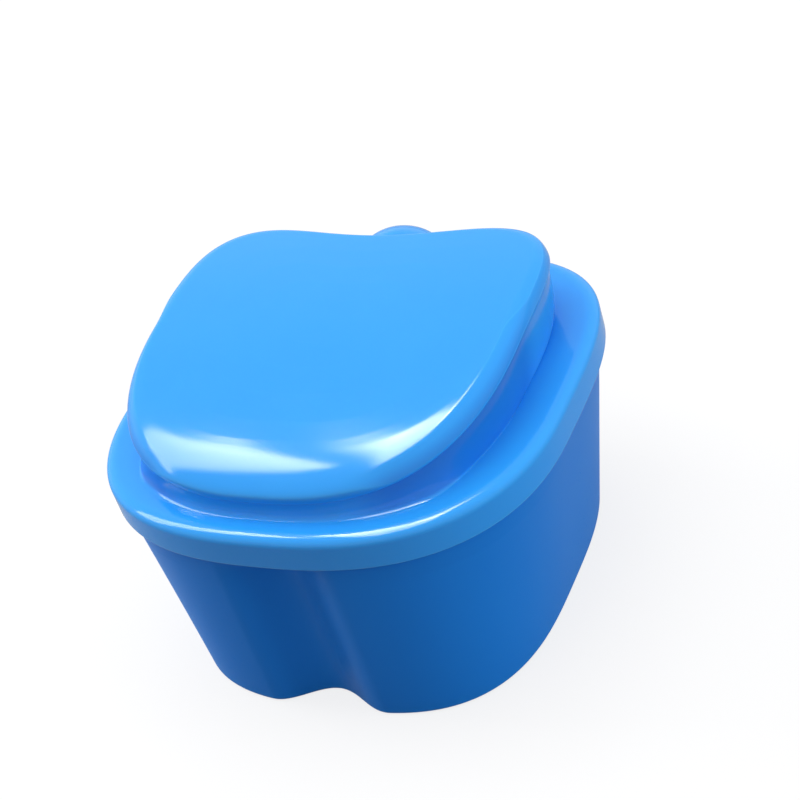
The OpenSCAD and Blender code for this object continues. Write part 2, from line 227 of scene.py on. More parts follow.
# ---------------------------------------------------------------------------
# Meshes
# ---------------------------------------------------------------------------


def to_metres(points: Array) -> Array:
    """Points in metres in the case's frame, from millimetres about the cup's widest line."""
    return (points + np.array([0, CASE_SHIFT, 0])) * MM


def make_object(name: str, points: Array, quads: Array, others: Sequence[Sequence[int]] = (),
                edge: Optional[Array] = None) -> bpy.types.Object:
    """Makes a smooth mesh object from arrays.

    Args:
        name: the object's name.
        points: corners in millimetres about the cup's widest line, one a row.
        quads: four corner numbers a row, anticlockwise seen from outside.
        others: further faces of any size.
        edge: strength of the polish on each corner, 0 to 1.

    Returns:
        The new object, at the origin.
    """
    mesh = bpy.data.meshes.new(name)
    mesh.from_pydata(to_metres(points).tolist(), [], quads.tolist() + [list(face) for face in others])
    mesh.polygons.foreach_set("use_smooth", np.ones(len(mesh.polygons), bool))
    # The lid's neck later gets painted shade in this attribute, as values below 0
    layer = mesh.attributes.new("edge", "FLOAT", "POINT")
    values = np.zeros(len(points)) if edge is None else edge.ravel()
    layer.data.foreach_set("value", values.astype(np.float32))
    mesh.update()
    piece = bpy.data.objects.new(name, mesh)
    bpy.context.scene.collection.objects.link(piece)
    return piece


def grid_quads(rows: int, columns: int) -> Array:
    """Quads of a grid that closes round its columns, facing outwards where the rings run down the outside."""
    i, k = np.meshgrid(np.arange(rows - 1), np.arange(columns), indexing="ij")
    after = (k + 1) % columns
    a, b = i * columns + k, i * columns + after
    return np.stack([a, a + columns, b + columns, b], axis=2).reshape(-1, 4)


def loft(name: str, rings: Array, flat_ends: bool = False, polish: bool = True) -> bpy.types.Object:
    """Joins closed rings into a solid.

    The surface is a function of two numbers, ring i and direction k: corner (i, k) is rings[i, k], each
    cell of the grid is a quad, and each end closes on a pole in its ring's middle or with one flat face.

    Args:
        name: the object's name.
        rings: grid of points, rings by directions by xyz, in millimetres, running down the outside.
        flat_ends: closes each end with one face in place of a pole.
        polish: marks the convex edges for the finish.

    Returns:
        The new object.
    """
    rows, columns = rings.shape[:2]
    points = rings.reshape(-1, 3)
    edge = (edge_strength(rings) if polish else np.zeros((rows, columns))).ravel()
    k = np.arange(columns)
    last = (rows - 1) * columns
    if flat_ends:
        return make_object(name, points, grid_quads(rows, columns), [k, last + k[::-1]], edge)
    points = np.concatenate([points, rings[:1].mean(axis=1), rings[-1:].mean(axis=1)])
    top, low = rows * columns, rows * columns + 1
    after = (k + 1) % columns
    caps = np.concatenate([np.stack([np.full(columns, top), k, after], 1),
                           np.stack([np.full(columns, low), last + after, last + k], 1)])
    return make_object(name, points, grid_quads(rows, columns), caps, np.append(edge, [0, 0]))


def revolve(name: str, profile: Sequence[tuple[float, float]], centre: Sequence[float], along: str = "z",
            count: int = 64) -> bpy.types.Object:
    """Turns a profile round an axis into a solid.

    A point at profile place i and turn t is centre + radius_i (cos t, sin t) across the axis + height_i
    along it.

    Args:
        name: the object's name.
        profile: (radius, height) pairs in millimetres, from the top down the outside.
        centre: where the axis has height 0.
        along: the axis, "x" or "z".
        count: number of steps round.

    Returns:
        The new object.
    """
    t = np.arange(count) / count * TURN
    pairs = np.array(profile, float)
    radius, height = pairs[:, :1], pairs[:, 1:]
    across, up, along_axis = radius * np.cos(t), radius * np.sin(t), height + 0 * t
    order = (across, up, along_axis) if along == "z" else (along_axis, across, up)
    return loft(name, np.stack(order, axis=2) + np.array(centre, float))


def rounded(outline: Array, step: float = 0.12, reach: int = 3) -> Array:
    """A closed outline with its corners softened.

    The outline is sampled every step along its length, and each sample becomes the mean of its
    neighbours within reach.

    Args:
        outline: corners, one a row.
        step: distance between samples, in millimetres.
        reach: number of samples to each side that are averaged.

    Returns:
        The samples, one a row.
    """
    closed = np.vstack([outline, outline[:1]])
    lengths = np.append(0, np.cumsum(np.linalg.norm(np.diff(closed, axis=0), axis=1)))
    s = np.linspace(0, lengths[-1], max(24, int(lengths[-1] / step)), endpoint=False)
    samples = np.stack([np.interp(s, lengths, closed[:, i]) for i in (0, 1)], axis=1)
    shifts = range(-reach, reach + 1)
    return np.mean([np.roll(samples, j, axis=0) for j in shifts], axis=0)


def slab(name: str, outline: Array, low_x: float, high_x: float, origin: Sequence[float],
         radius: float = 0.35) -> bpy.types.Object:
    """Draws a side view out along X, with its two rims rounded.

    The rim's rings follow a quarter circle: at turn a they are inset by radius (1 - sin a) along the
    outline's own normals and lie radius (1 - cos a) from the end.

    Args:
        name: the object's name.
        outline: (y, z) samples, anticlockwise seen from +X.
        low_x: where the slab starts.
        high_x: where it ends.
        origin: y and z of the outline's own origin.
        radius: radius of the rims.

    Returns:
        The new object.
    """
    tangent = np.roll(outline, -1, axis=0) - np.roll(outline, 1, axis=0)
    normal = np.stack([tangent[:, 1], -tangent[:, 0]], axis=1)
    normal /= np.linalg.norm(normal, axis=1, keepdims=True) + 1e-9
    a = quarter(6)
    insets = np.concatenate([radius * (1 - np.sin(a)), radius * (1 - np.cos(a))])
    places = np.concatenate([high_x - radius * (1 - np.cos(a)), low_x + radius * (1 - np.sin(a))])
    side = outline[None] - normal[None] * insets[:, None, None] + np.array(origin)
    x = np.broadcast_to(places[:, None, None], side.shape[:2] + (1,))
    return loft(name, guarded(np.concatenate([x, side], axis=2)), flat_ends=True)


def settled(piece: bpy.types.Object) -> bpy.types.Object:
    """Applies a piece's modifiers to its mesh."""
    graph = bpy.context.evaluated_depsgraph_get()
    mesh = bpy.data.meshes.new_from_object(piece.evaluated_get(graph))
    piece.modifiers.clear()
    piece.data = mesh
    return piece


def joined(pieces: Sequence[bpy.types.Object], name: str) -> bpy.types.Object:
    """Makes one object of several mouldings that belong together.

    Args:
        pieces: the objects; the first one is kept.
        name: name of the result.

    Returns:
        The joined object.
    """
    bpy.context.view_layer.update()
    first = pieces[0]
    with bpy.context.temp_override(active_object=first, object=first, selected_objects=list(pieces),
                                   selected_editable_objects=list(pieces)):
        bpy.ops.object.join()
    first.name = name
    first.data.name = name
    return first


# ---------------------------------------------------------------------------
# Shader maths
# ---------------------------------------------------------------------------


class Wire:
    """A shader output that takes part in Python arithmetic; each operator adds one Math node."""

    def __init__(self, bench: "Bench", socket: bpy.types.NodeSocket) -> None:
        """Wraps one output socket of a material's tree."""
        self.bench = bench
        self.socket = socket

    def _math(self, operation: str, *values: Union["Wire", Number]) -> "Wire":
        """Adds a Math node on the given values."""
        return self.bench.math(operation, *values)

    def __add__(self, other: Union["Wire", Number]) -> "Wire":
        """Sum."""
        return self._math("ADD", self, other)

    __radd__ = __add__

    def __sub__(self, other: Union["Wire", Number]) -> "Wire":
        """Difference."""
        return self._math("SUBTRACT", self, other)

    def __rsub__(self, other: Number) -> "Wire":
        """Difference the other way round."""
        return self._math("SUBTRACT", other, self)

    def __mul__(self, other: Union["Wire", Number]) -> "Wire":
        """Product."""
        return self._math("MULTIPLY", self, other)

    __rmul__ = __mul__

    def above(self, edge: float, soft: float) -> "Wire":
        """0 below the edge and 1 above it, with a soft step between."""
        settings = {"interpolation_type": "SMOOTHSTEP", "clamp": True}
        values = {"Value": self, "From Min": edge - soft, "From Max": edge + soft}
        return self.bench.node("ShaderNodeMapRange", settings, values).out("Result")

    def clamped(self) -> "Wire":
        """The value kept between 0 and 1."""
        return self.bench.node("ShaderNodeClamp", {}, {"Value": self}).out("Result")


Value = Union[Wire, Number, Sequence[float]]


class Placed:
    """A node of a material's tree, with its outputs at hand."""

    def __init__(self, bench: "Bench", node: bpy.types.Node) -> None:
        """Wraps the node."""
        self.bench = bench
        self.node = node

    def out(self, name: Union[str, int] = 0) -> Wire:
        """The output of that name or number."""
        return Wire(self.bench, self.node.outputs[name])


class Bench:
    """The tree of one material or of the world, and the means to fill it."""

    def __init__(self, owner: Union[str, bpy.types.World]) -> None:
        """Empties the owner's tree; a name makes a material of that name."""
        self.material = bpy.data.materials.new(owner) if isinstance(owner, str) else owner
        self.material.use_nodes = True
        self.tree = self.material.node_tree
        self.tree.nodes.clear()

    def node(self, kind: str, settings: Optional[dict] = None, values: Optional[dict] = None) -> Placed:
        """Adds a node.

        Args:
            kind: Blender's name of the node's type.
            settings: the node's own settings, set first; "stops" holds a ramp's (place, colour) pairs.
            values: values or wires for its inputs, by the socket's name or number.

        Returns:
            The node.
        """
        node = self.tree.nodes.new(kind)
        for key, value in (settings or {}).items():
            if key == "stops":
                self._set_stops(node.color_ramp, value)
            else:
                setattr(node, key, value)
        for key, value in (values or {}).items():
            socket = node.inputs[key]
            if isinstance(value, Wire):
                self.tree.links.new(value.socket, socket)
            else:
                socket.default_value = value
        return Placed(self, node)

    @staticmethod
    def _set_stops(ramp: bpy.types.ColorRamp, stops: Sequence[tuple[float, Sequence[float]]]) -> None:
        """Gives a ramp its stops."""
        while len(ramp.elements) < len(stops):
            ramp.elements.new(1.0)
        for element, (place, colour) in zip(ramp.elements, stops):
            element.position = place
            element.color = (*colour, 1.0)

    def math(self, operation: str, *values: Union[Wire, Number]) -> Wire:
        """Adds a Math node of that operation."""
        return self.node("ShaderNodeMath", {"operation": operation}, dict(enumerate(values))).out()

    def place(self) -> Wire:
        """The point on the piece, in metres in the case's frame."""
        return self.node("ShaderNodeTexCoord").out("Object")

    def noise(self, at: Wire, scale: float, detail: float = 3.0, rough: float = 0.5) -> Wire:
        """Soft noise between 0 and 1, of the given number of features to the metre."""
        return self.node("ShaderNodeTexNoise", {"noise_dimensions": "3D"},
                         {"Vector": at, "Scale": scale, "Detail": detail, "Roughness": rough}).out("Fac")

    def turned(self, at: Wire, angles: Sequence[float], stretch: Sequence[float]) -> Wire:
        """The point turned by angles and then stretched, for marks that run one way."""
        return self.node("ShaderNodeMapping", {"vector_type": "POINT"},
                         {"Vector": at, "Rotation": angles, "Scale": stretch}).out()

    def tint(self, amount: Union[Wire, Number], one: Value, other: Value, blend: str = "MIX") -> Wire:
        """Mixes two colours by an amount."""
        settings = {"data_type": "RGBA", "blend_type": blend, "clamp_factor": True}
        first, second = (colour if isinstance(colour, Wire) else (*colour, 1.0) for colour in (one, other))
        return self.node("ShaderNodeMix", settings, {0: amount, 6: first, 7: second}).out(2)

    def bump(self, height: Wire, depth: float, strength: float = 1.0) -> Wire:
        """A normal disturbed by a height of the given depth in metres."""
        values = {"Height": height, "Distance": depth, "Strength": strength}
        return self.node("ShaderNodeBump", {}, values).out()

    def finish(self, values: dict) -> bpy.types.Material:
        """Ends the tree in a Principled shader with the given inputs.

        Args:
            values: values or wires by the shader's socket names.

        Returns:
            The material.
        """
        shader = self.node("ShaderNodeBsdfPrincipled", {}, values)
        self.node("ShaderNodeOutputMaterial", {}, {"Surface": shader.out()})
        return self.material


class Scale:
    """Features to the metre of the plastic's noises."""

    FLOW = 38
    CLOUDS = 14
    SPECKS = 900
    TEXTURE = 2600
    WAVE = 60
    SCRATCHES = 55


@dataclass(frozen=True)
class MouldedPlastic:
    """Injection-moulded plastic: a body colour with faint flow marks, fine texture and handling marks.

    The third colour is for convex edges, and the fourth is painted shade for the lid's neck. The blue
    plastics have a low index of refraction, so that the white all round leaves the blue deep.
    """

    name: str
    colour: tuple[float, float, float]
    flow_colour: tuple[float, float, float]
    edge_colour: tuple[float, float, float]
    painted_shade_colour: tuple[float, float, float]
    roughness: float
    grain_depth: float
    scratches: float
    index: float
    glow: float
    glow_radius: tuple[float, float, float]
    glow_depth: float = 0.0025
    wave_depth: float = 0.00001

    def material(self) -> bpy.types.Material:
        """Builds the material.

        Body colour: flow lines, which are noise stretched along the height, mix in the second colour,
        convex edges lean towards the third, and painted shade (edge below 0, on the lid's neck) darkens it
        towards the fourth.
        Roughness: wide clouds, hairline scratches and dust specks.
        Bump: mould texture a few micrometres deep, a long faint unevenness, and the scratches.

        Returns:
            The material.
        """
        bench = Bench(self.name)
        at = bench.place()
        polish_and_painted_shade = bench.node("ShaderNodeAttribute", {"attribute_name": "edge"}).out("Fac")
        edge = polish_and_painted_shade.clamped()
        flow = bench.noise(bench.turned(at, (0, 0, 0), (1, 1, 0.35)), Scale.FLOW, 4, 0.55)
        clouds = bench.noise(at, Scale.CLOUDS, 2, 0.5)
        colour = bench.tint(flow.above(0.56, 0.2) * 0.55, self.colour, self.flow_colour)
        colour = bench.tint(edge * 0.5, colour, self.edge_colour)
        # Painted shade: below 0 the mark darkens the colour towards the painted shade colour
        colour = bench.tint((polish_and_painted_shade * -1).clamped(), colour, self.painted_shade_colour)
        scratch = self._hairlines(bench, at)
        specks = bench.noise(at, Scale.SPECKS, 1, 0.5).above(0.77, 0.03)
        roughness = (clouds - 0.5) * 0.05 + scratch * 0.16 + specks * 0.12 + edge * -0.02 + self.roughness
        texture = bench.noise(at, Scale.TEXTURE, 2, 0.6)
        wave = bench.noise(at, Scale.WAVE, 1, 0.4)
        grain = bench.bump(texture, self.grain_depth)
        relief = {"Height": wave - scratch * 0.2, "Distance": self.wave_depth, "Strength": 1.0,
                  "Normal": grain}
        bumped = bench.node("ShaderNodeBump", {}, relief).out()
        return bench.finish({
            "Base Color": colour, "Roughness": roughness.clamped(), "Normal": bumped,
            "IOR": self.index, "Subsurface Weight": self.glow, "Subsurface Radius": self.glow_radius,
            "Subsurface Scale": self.glow_depth,
        })

    def _hairlines(self, bench: Bench, at: Wire) -> Wire:
        """Fine scratches: two families of noise stretched into lines, kept only where a cloud lets them."""
        first = bench.noise(bench.turned(at, (0.3, 0.2, 0.5), (1, 60, 60)), 26, 1, 0.5).above(0.7, 0.015)
        second = bench.noise(bench.turned(at, (0.1, -0.4, 2.1), (1, 70, 70)), 22, 1, 0.5).above(0.71, 0.015)
        where = bench.noise(at, Scale.SCRATCHES, 2, 0.5).above(0.54, 0.1)
        return (first + second) * where * self.scratches


@dataclass(frozen=True)
class DrawnSteel:
    """Drawn steel wire, cut to length: lines along X, and a soft oxide tone."""

    name: str = "drawn_steel"
    colour: tuple[float, float, float] = (0.56, 0.57, 0.59)
    stain: tuple[float, float, float] = (0.40, 0.39, 0.38)

    def material(self) -> bpy.types.Material:
        """Builds the material: noise stretched along the wire gives its lines and their roughness."""
        bench = Bench(self.name)
        at = bench.place()
        lines = bench.noise(bench.turned(at, (0, 0, 0), (60, 1800, 1800)), 1, 3, 0.6)
        tone = bench.noise(at, 350, 3, 0.6)
        colour = bench.tint(tone.above(0.55, 0.15) * 0.6, self.colour, self.stain)
        return bench.finish({"Base Color": colour, "Metallic": 1.0, "Roughness": lines * 0.25 + 0.2,
                             "Normal": bench.bump(lines, 0.00002)})


BLUE_GLOW = (0.15, 0.5, 1.0)
WHITE_GLOW = (1.0, 0.9, 0.8)
# The lid and cup are one blue plastic in a lit and a shaded copy: the lid's lighter blue is painted light on
# its top plate, the cup's darker blue is painted shade on its walls
LIT_LID_PLASTIC = MouldedPlastic(
    name="blue_lid_plastic_painted_light", colour=(0.026, 0.335, 0.90), flow_colour=(0.030, 0.350, 0.92),
    edge_colour=(0.05, 0.42, 0.95), painted_shade_colour=(0.012, 0.195, 0.70), roughness=0.10,
    grain_depth=0.0000015, scratches=0.4, index=1.35, glow=0.1, glow_radius=BLUE_GLOW)
SHADED_CUP_PLASTIC = MouldedPlastic(
    name="blue_cup_plastic_painted_shade", colour=(0.014, 0.222, 0.74), flow_colour=(0.017, 0.237, 0.76),
    edge_colour=(0.03, 0.30, 0.82), painted_shade_colour=(0.014, 0.20, 0.74), roughness=0.36,
    grain_depth=0.000003, scratches=0.5, index=1.2, glow=0.1, glow_radius=BLUE_GLOW)
BASKET_PLASTIC = MouldedPlastic(
    name="white_basket_plastic", colour=(0.80, 0.82, 0.84), flow_colour=(0.77, 0.79, 0.81),
    edge_colour=(0.86, 0.87, 0.88), painted_shade_colour=(0.70, 0.72, 0.75), roughness=0.36,
    grain_depth=0.000004, scratches=0.5, index=1.46, glow=0.15, glow_radius=WHITE_GLOW)
BAIL_PLASTIC = MouldedPlastic(
    name="white_bail_plastic", colour=(0.78, 0.80, 0.83), flow_colour=(0.75, 0.77, 0.80),
    edge_colour=(0.85, 0.86, 0.88), painted_shade_colour=(0.70, 0.72, 0.75), roughness=0.3,
    grain_depth=0.000003, scratches=0.6, index=1.46, glow=0.15, glow_radius=WHITE_GLOW)


def dress(piece: bpy.types.Object, material: bpy.types.Material, slot: Slot, body: Body,
          *nodes: str) -> bpy.types.Object:
    """Gives a piece its material, its body and the solids that it stands for.

    Args:
        piece: the finished piece.
        material: what it is made of.
        slot: the record's slot for that finish; not used.
        body: the body it moves with.
        nodes: the solids it replaces.

    Returns:
        The piece.
    """
    piece.data.materials.clear()
    piece.data.materials.append(material)
    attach(piece, body.value)
    if nodes:
        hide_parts(*nodes)
    LOG.info("%s: %d faces, on body %s", piece.name, len(piece.data.polygons), body.value)
    return piece


# ---------------------------------------------------------------------------
# The case's pieces
# ---------------------------------------------------------------------------


@dataclass(frozen=True)
class Cup:
    """The soaking cup: walls that lean out from the base, the front groove, shoulder, collar and ears."""

    base: Outline = Outline(42.3, 43.0, 47.8, 3.0, 3.1)
    shoulder: Outline = Outline(50.5, 43.9, 51.2, 2.52, 3.53)
    height: float = 50.5
    skirt_low: float = 44.7
    shoulder_gap: float = 0.3
    wall: float = 2.1
    floor_top: float = 3.0
    floor_fillet: float = 3.0
    foot_recess: float = 0.8
    foot_width: float = 4.2
    collar_step: float = 0.55
    groove_depth: float = 5.7
    groove_width: float = 29.0
    groove_stop: float = 0.8
    groove_fade: float = 4.5
    rim_round: float = 0.5
    step_round: float = 0.12
    shoulder_round: float = 0.3
    foot_round: float = 0.9
    ring_round: float = 0.25
    around: int = 420

    @property
    def shoulder_z(self) -> float:
        """Height of the shoulder."""
        return self.skirt_low - self.shoulder_gap

    @property
    def groove_top(self) -> float:
        """Height where the groove has run out to the wall."""
        return self.shoulder_z - self.groove_stop

    def grid(self, z: Array, inset: Array, groove: Array, phi: Array) -> Array:
        """Points of the cup at heights, insets and shares of the groove.

        The outline at height z is mixed from the base's to the shoulder's, and the front is pushed in
        by the groove: its depth times its share times a raised cosine across the front.

        Args:
            z: heights, as a column.
            inset: distances from the outside, as a column.
            groove: shares of the groove, as a column.
            phi: directions.

        Returns:
            Grid of rings by directions by xyz.
        """
        t = np.minimum(z / self.shoulder_z, 1)
        x, y = self.base.toward(self.shoulder, t, phi, inset)
        dent = np.where(np.sin(phi) < 0, groove * self.groove_depth * hump(x, self.groove_width), 0)
        return np.stack([x, y + dent, z + 0 * x], axis=2)

    def profile(self) -> tuple[Array, Array, Array, Array]:
        """The cup's section from the middle of its floor, up the inside and down the outside.

        Returns:
            Columns of height, inset, share of the groove, and share of the way out from the middle.
        """
        fillet, rim, foot, ring = self.floor_fillet, self.rim_round, self.foot_round, self.ring_round
        mouth, step, shoulder = self.collar_step, self.step_round, self.shoulder_round
        vault = self.groove_top - self.groove_fade
        fade = [(self.groove_fade * math.sin(a), math.cos(a)) for a in quarter(15)]
        bowl = quadrant((self.wall + fillet, self.floor_top), (self.wall, self.floor_top + fillet), 9)
        collar = quadrant((self.wall, self.height - rim), (self.wall - rim, self.height), 6, upright=True)
        collar += quadrant((mouth + rim, self.height), (mouth, self.height - rim), 6)
        collar += quadrant((mouth, self.shoulder_z + step), (mouth - step, self.shoulder_z), 3, upright=True)
        collar += quadrant((shoulder, self.shoulder_z), (0, self.shoulder_z - shoulder))
        base = quadrant((0, foot), (foot, 0), 7, upright=True)
        base += quadrant((self.foot_width - ring, 0), (self.foot_width, ring), 4)
        rows = [(self.floor_top, self.wall + fillet, 1, s) for s in (0.02, 0.3, 0.6, 0.85, 0.97)]
        rows += [(z, inset, 1, 1) for inset, z in bowl]
        rows += [(vault + self.wall + rise, self.wall, share, 1) for rise, share in fade]
        rows += [(z, inset, 0, 1) for inset, z in collar]
        rows += [(vault + rise, 0, share, 1) for rise, share in fade[::-1]]
        rows += [(z, inset, 1, 1) for inset, z in base]
        recess, inner = self.foot_recess, self.foot_width + self.foot_recess
        rows += [(recess, inner, 1, s) for s in (1, 0.97, 0.7, 0.4, 0.02)]
        return tuple(column(values) for values in zip(*rows))

    def shell(self) -> bpy.types.Object:
        """The moulding without its ears."""
        z, inset, groove, share = self.profile()
        phi = directions(self.around)
        rings = self.grid(z, inset, groove, phi)
        rings[..., :2] *= share[:, :, None]
        return loft("cup_shell", guarded(rings))

    def build(self, hinge: "Hinge") -> bpy.types.Object:
        """The cup with its two hinge ears.

        Args:
            hinge: the hinge whose ears it carries.

        Returns:
            The piece.
        """
        back = [mix(self.base.back, self.shoulder.back, min(z / self.shoulder_z, 1)) - hinge.y
                for z in (hinge.z, hinge.z - hinge.ear_drop)]
        outline = hinge.ear_outline(back[0], back[1])
        ears = [slab(f"ear_{i}", outline, x, x + hinge.ear_thickness, (hinge.y, hinge.z))
                for i, x in enumerate((hinge.ear_x, -hinge.ear_x - hinge.ear_thickness))]
        return joined([self.shell(), *ears], "soaking_cup")


@dataclass(frozen=True)
class Hinge:
    """The hinge at the back: two ears on the cup, one knuckle on the lid, and the pin."""

    y: float = 56.2
    z: float = 44.7
    knuckle_radius: float = 3.2
    pin_radius: float = 1.25
    knuckle_length: float = 16.0
    ear_thickness: float = 4.0
    side_gap: float = 0.3
    skirt_gap: float = 0.35
    ear_drop: float = 11.0
    pin_proud: float = 0.6
    pin_round: float = 0.4
    bite: float = 1.1

    @property
    def ear_x(self) -> float:
        """Where the ears start, either side of the middle."""
        return self.knuckle_length / 2 + self.side_gap

    def arc(self, start: float, end: float) -> Array:
        """Points of the knuckle's round between two angles in degrees."""
        a = np.radians(np.linspace(start, end, max(4, int(abs(end - start) / 6))))
        return self.knuckle_radius * np.stack([np.cos(a), np.sin(a)], axis=1)

    def ear_outline(self, wall_top: float, wall_low: float) -> Array:
        """Side view of an ear: the round on the axis and its web down the cup's back.

        Args:
            wall_top: y of the cup's back beside the axis, from the axis.
            wall_low: the same at the web's foot.

        Returns:
            Samples anticlockwise seen from +X.
        """
        head = self.arc(-40, 186)
        inner = np.array([[wall_top - self.bite, -self.skirt_gap], [wall_low - self.bite, -self.ear_drop],
                          [wall_low + 0.1, -self.ear_drop]])
        return rounded(np.vstack([head, inner]))

    def arm_outline(self, top: float) -> Array:
        """Side view of the lid's arm: the round on the axis and its web to the skirt.

        Args:
            top: height of the web's top at the skirt, above the axis.

        Returns:
            Samples anticlockwise seen from +X.
        """
        root = -self.knuckle_radius - self.skirt_gap - self.bite
        return rounded(np.vstack([[[root, top], [root, 0]], self.arc(-90, 60)]))

    def pin(self) -> bpy.types.Object:
        """The pin: a straight side with a quarter circle and a flat at each end."""
        half = self.ear_x + self.ear_thickness + self.pin_proud
        r, soft = self.pin_radius, self.pin_round
        end = [(r * 0.3, half)] + quadrant((r - soft, half), (r, half - soft), 6)
        profile = end + [(radius, -x) for radius, x in end[::-1]]
        return revolve("hinge_wire", profile, (0, self.y, self.z), along="x", count=48)


@dataclass(frozen=True)
class Lid:
    """The lid: skirt, land, hollow-curved neck, overhanging top plate with its dip, boss and knuckle."""

    skirt: Outline = Outline(51.95, 45.35, 52.65, 2.52, 3.53)
    plate: Outline = Outline(44.15, 44.2, 37.5, 2.56, 4.1, 5.1)
    skirt_low: float = 44.7
    skirt_wall: float = 1.6
    land_top: float = 52.7
    wall: float = 2.0
    land_width: float = 5.4
    side_land: float = 9.6
    roll: float = 2.2
    land_crown: float = 3.0
    land_square: float = 2.2
    crest_z: float = 70.0
    crest_y: float = 23.4
    crown_radius: float = 203.0
    dip_depth: float = 6.6
    dip_width: float = 88.0
    edge_rise: float = 2.2
    side_rise: float = 3.4
    edge_drop: float = 2.0
    overhang: float = 0.6
    neck_square: float = 2.2
    edge_round: float = 1.3
    side_round: float = 3.6
    front_round: float = 9.0
    ridge_inset: float = 2.8
    ridge_back: float = 0.9
    ridge_room: float = 0.4
    ridge_square: float = 1.35
    lip_round: float = 0.45
    boss_radius: float = 11.0
    boss_y: float = 39.6
    boss_top: float = 66.8
    boss_dome: float = 7.6
    boss_square: float = 1.6
    boss_flare: float = 0.3
    boss_sink: float = 0.8
    around: int = 420

    @property
    def land_under(self) -> float:
        """Height of the land's underside."""
        return self.land_top - self.wall

    def skirt_ring(self, z: Union[float, Array], inset: Union[float, Array], phi: Array) -> Array:
        """A ring of the skirt or land at a height, inset from the outside."""
        x, y = self.skirt.points(phi, inset)
        return np.stack([x, y, z + 0 * x], axis=2)[0]

    def plate_ring(self, inset: Union[float, Array], rise: Union[float, Array], phi: Array,
                   share: float = 1.0) -> Array:
        """A ring of the top plate.

        The plate's outline has its back edge drawn in by a raised cosine, and its height at y is the
        crest's less (y - crest_y)^2 / (2 radius).

        Args:
            inset: distance from the plate's edge, one value or one for each direction.
            rise: height above the plate's surface, one value or one for each direction.
            phi: directions.
            share: share of the way out from the plate's middle.

        Returns:
            Points, directions by xyz.
        """
        x, y = self.plate.points(phi, inset)
        y = y - np.where(np.sin(phi) > 0, self.dip_depth * hump(x, self.dip_width), 0)
        x, y = x[0] * share, mix(self.plate.middle, y[0], share)
        return np.stack([x, y, self.crown(y) + rise], axis=1)

    def crown(self, y: Array) -> Array:
        """Height of the plate's surface at y."""
        return self.crest_z - (y - self.crest_y) ** 2 / (2 * self.crown_radius)

    def rounding(self, phi: Array) -> Array:
        """Width of the plate's rounding: wide at the front, middling at the sides, narrow at the back."""
        end = np.where(np.sin(phi) < 0, self.front_round, self.edge_round)
        return mix(self.side_round, end, np.sin(phi) ** 2)

    def land(self, phi: Array) -> Array:
        """Width of the land: narrow at the front and back, wide at the sides, smooth between."""
        front = np.sin(phi) < 0
        side = smooth_step(np.abs(np.cos(phi)), np.where(front, 0.7, 0.45), np.where(front, 0.27, 0.3))
        return mix(self.land_width, self.side_land, side)

    def ridge_line(self, phi: Array) -> Array:
        """Distance of the ridge from the plate's edge: wide ahead of the middle, narrow behind it."""
        return mix(self.ridge_back, self.ridge_inset, self.ahead(phi))

    @staticmethod
    def ahead(phi: Array) -> Array:
        """A smooth step from 0 behind the plate's middle to 1 ahead of it."""
        return smooth_step(-np.sin(phi), -0.2, 0.25)

    @staticmethod
    def ridge_strength(phi: Array) -> Array:
        """How sharp the plate's ridge is: 1 along the sides, fading out to the front and back."""
        front = np.sin(phi) < 0
        return smooth_step(np.abs(np.cos(phi)), np.where(front, 0.38, 0.6), np.where(front, 0.24, 0.25))

    def edge_rings(self, phi: Array, before: int = 8, after: int = 14) -> list[Array]:
        """The plate's rounding, from its flat top down to its outermost line.

        The smooth form is a quarter ellipse: inset w (1 - sin a), drop h (1 - cos a). The ridged form
        follows it as far as the ridge, and from there a quarter superellipse of low power, which leaves
        the ridge steeply. The two are mixed by the ridge's strength in each direction.

        Args:
            phi: directions.
            before: number of rings inside the ridge.
            after: number of rings from the ridge out.

        Returns:
            The rings, from the inside out.
        """
        wide, strength = self.rounding(phi), self.ridge_strength(phi)
        rise = mix(self.edge_rise, self.side_rise, strength)
        line = self.ridge_line(phi)
        outer = np.maximum(wide, line + self.ridge_room)
        ridge = np.arcsin(np.clip(1 - line / outer, 0, 1))
        power, rings = 2 / self.ridge_square, []
        for i in range(before + after):
            a = math.pi / 2 * i / (before + after - 1)
            smooth = wide * (1 - math.sin(a)), self.edge_rise * (1 - math.cos(a))
            b = ridge * min(i / before, 1)
            inset = outer * (1 - np.sin(b))
            drop = self.edge_rise * (1 - np.cos(b))
            if i >= before:
                c = math.pi / 2 * (i - before) / (after - 1)
                inset = inset * (1 - math.sin(c) ** power)
                drop = drop + (rise - drop) * (1 - max(math.cos(c), 0) ** power)
            rings.append((mix(smooth[0], inset, strength), mix(smooth[1], drop, strength)))
        return [self.plate_ring(inset[None], -drop, phi) for inset, drop in rings]

    def neck_ring(self, a: float, inset: float, foot_z: float, drop: float, phi: Array) -> Array:
        """A ring of the neck: a hollow quarter of a superellipse from the land, at turn 0, up to the plate.

        At turn a the ring lies the share 1 - cos(a)^(2 / n) of the height up, and the share sin(a)^(2 / n)
        of the way in from the foot to the head.

        Args:
            a: turn along the curve, 0 to a right angle.
            inset: distance inside the neck's outer face.
            foot_z: height of the curve's foot.
            drop: depth of its head below the plate's surface.
            phi: directions.

        Returns:
            Points, directions by xyz.
        """
        foot = self.skirt_ring(foot_z, (self.land(phi) + inset)[None], phi)
        head = self.plate_ring(self.overhang + inset, -drop, phi)
        inward = math.sin(a) ** (2 / self.neck_square)
        up = 1 - max(math.cos(a), 0) ** (2 / self.neck_square)
        return mix(foot, head, np.array([inward, inward, up]))

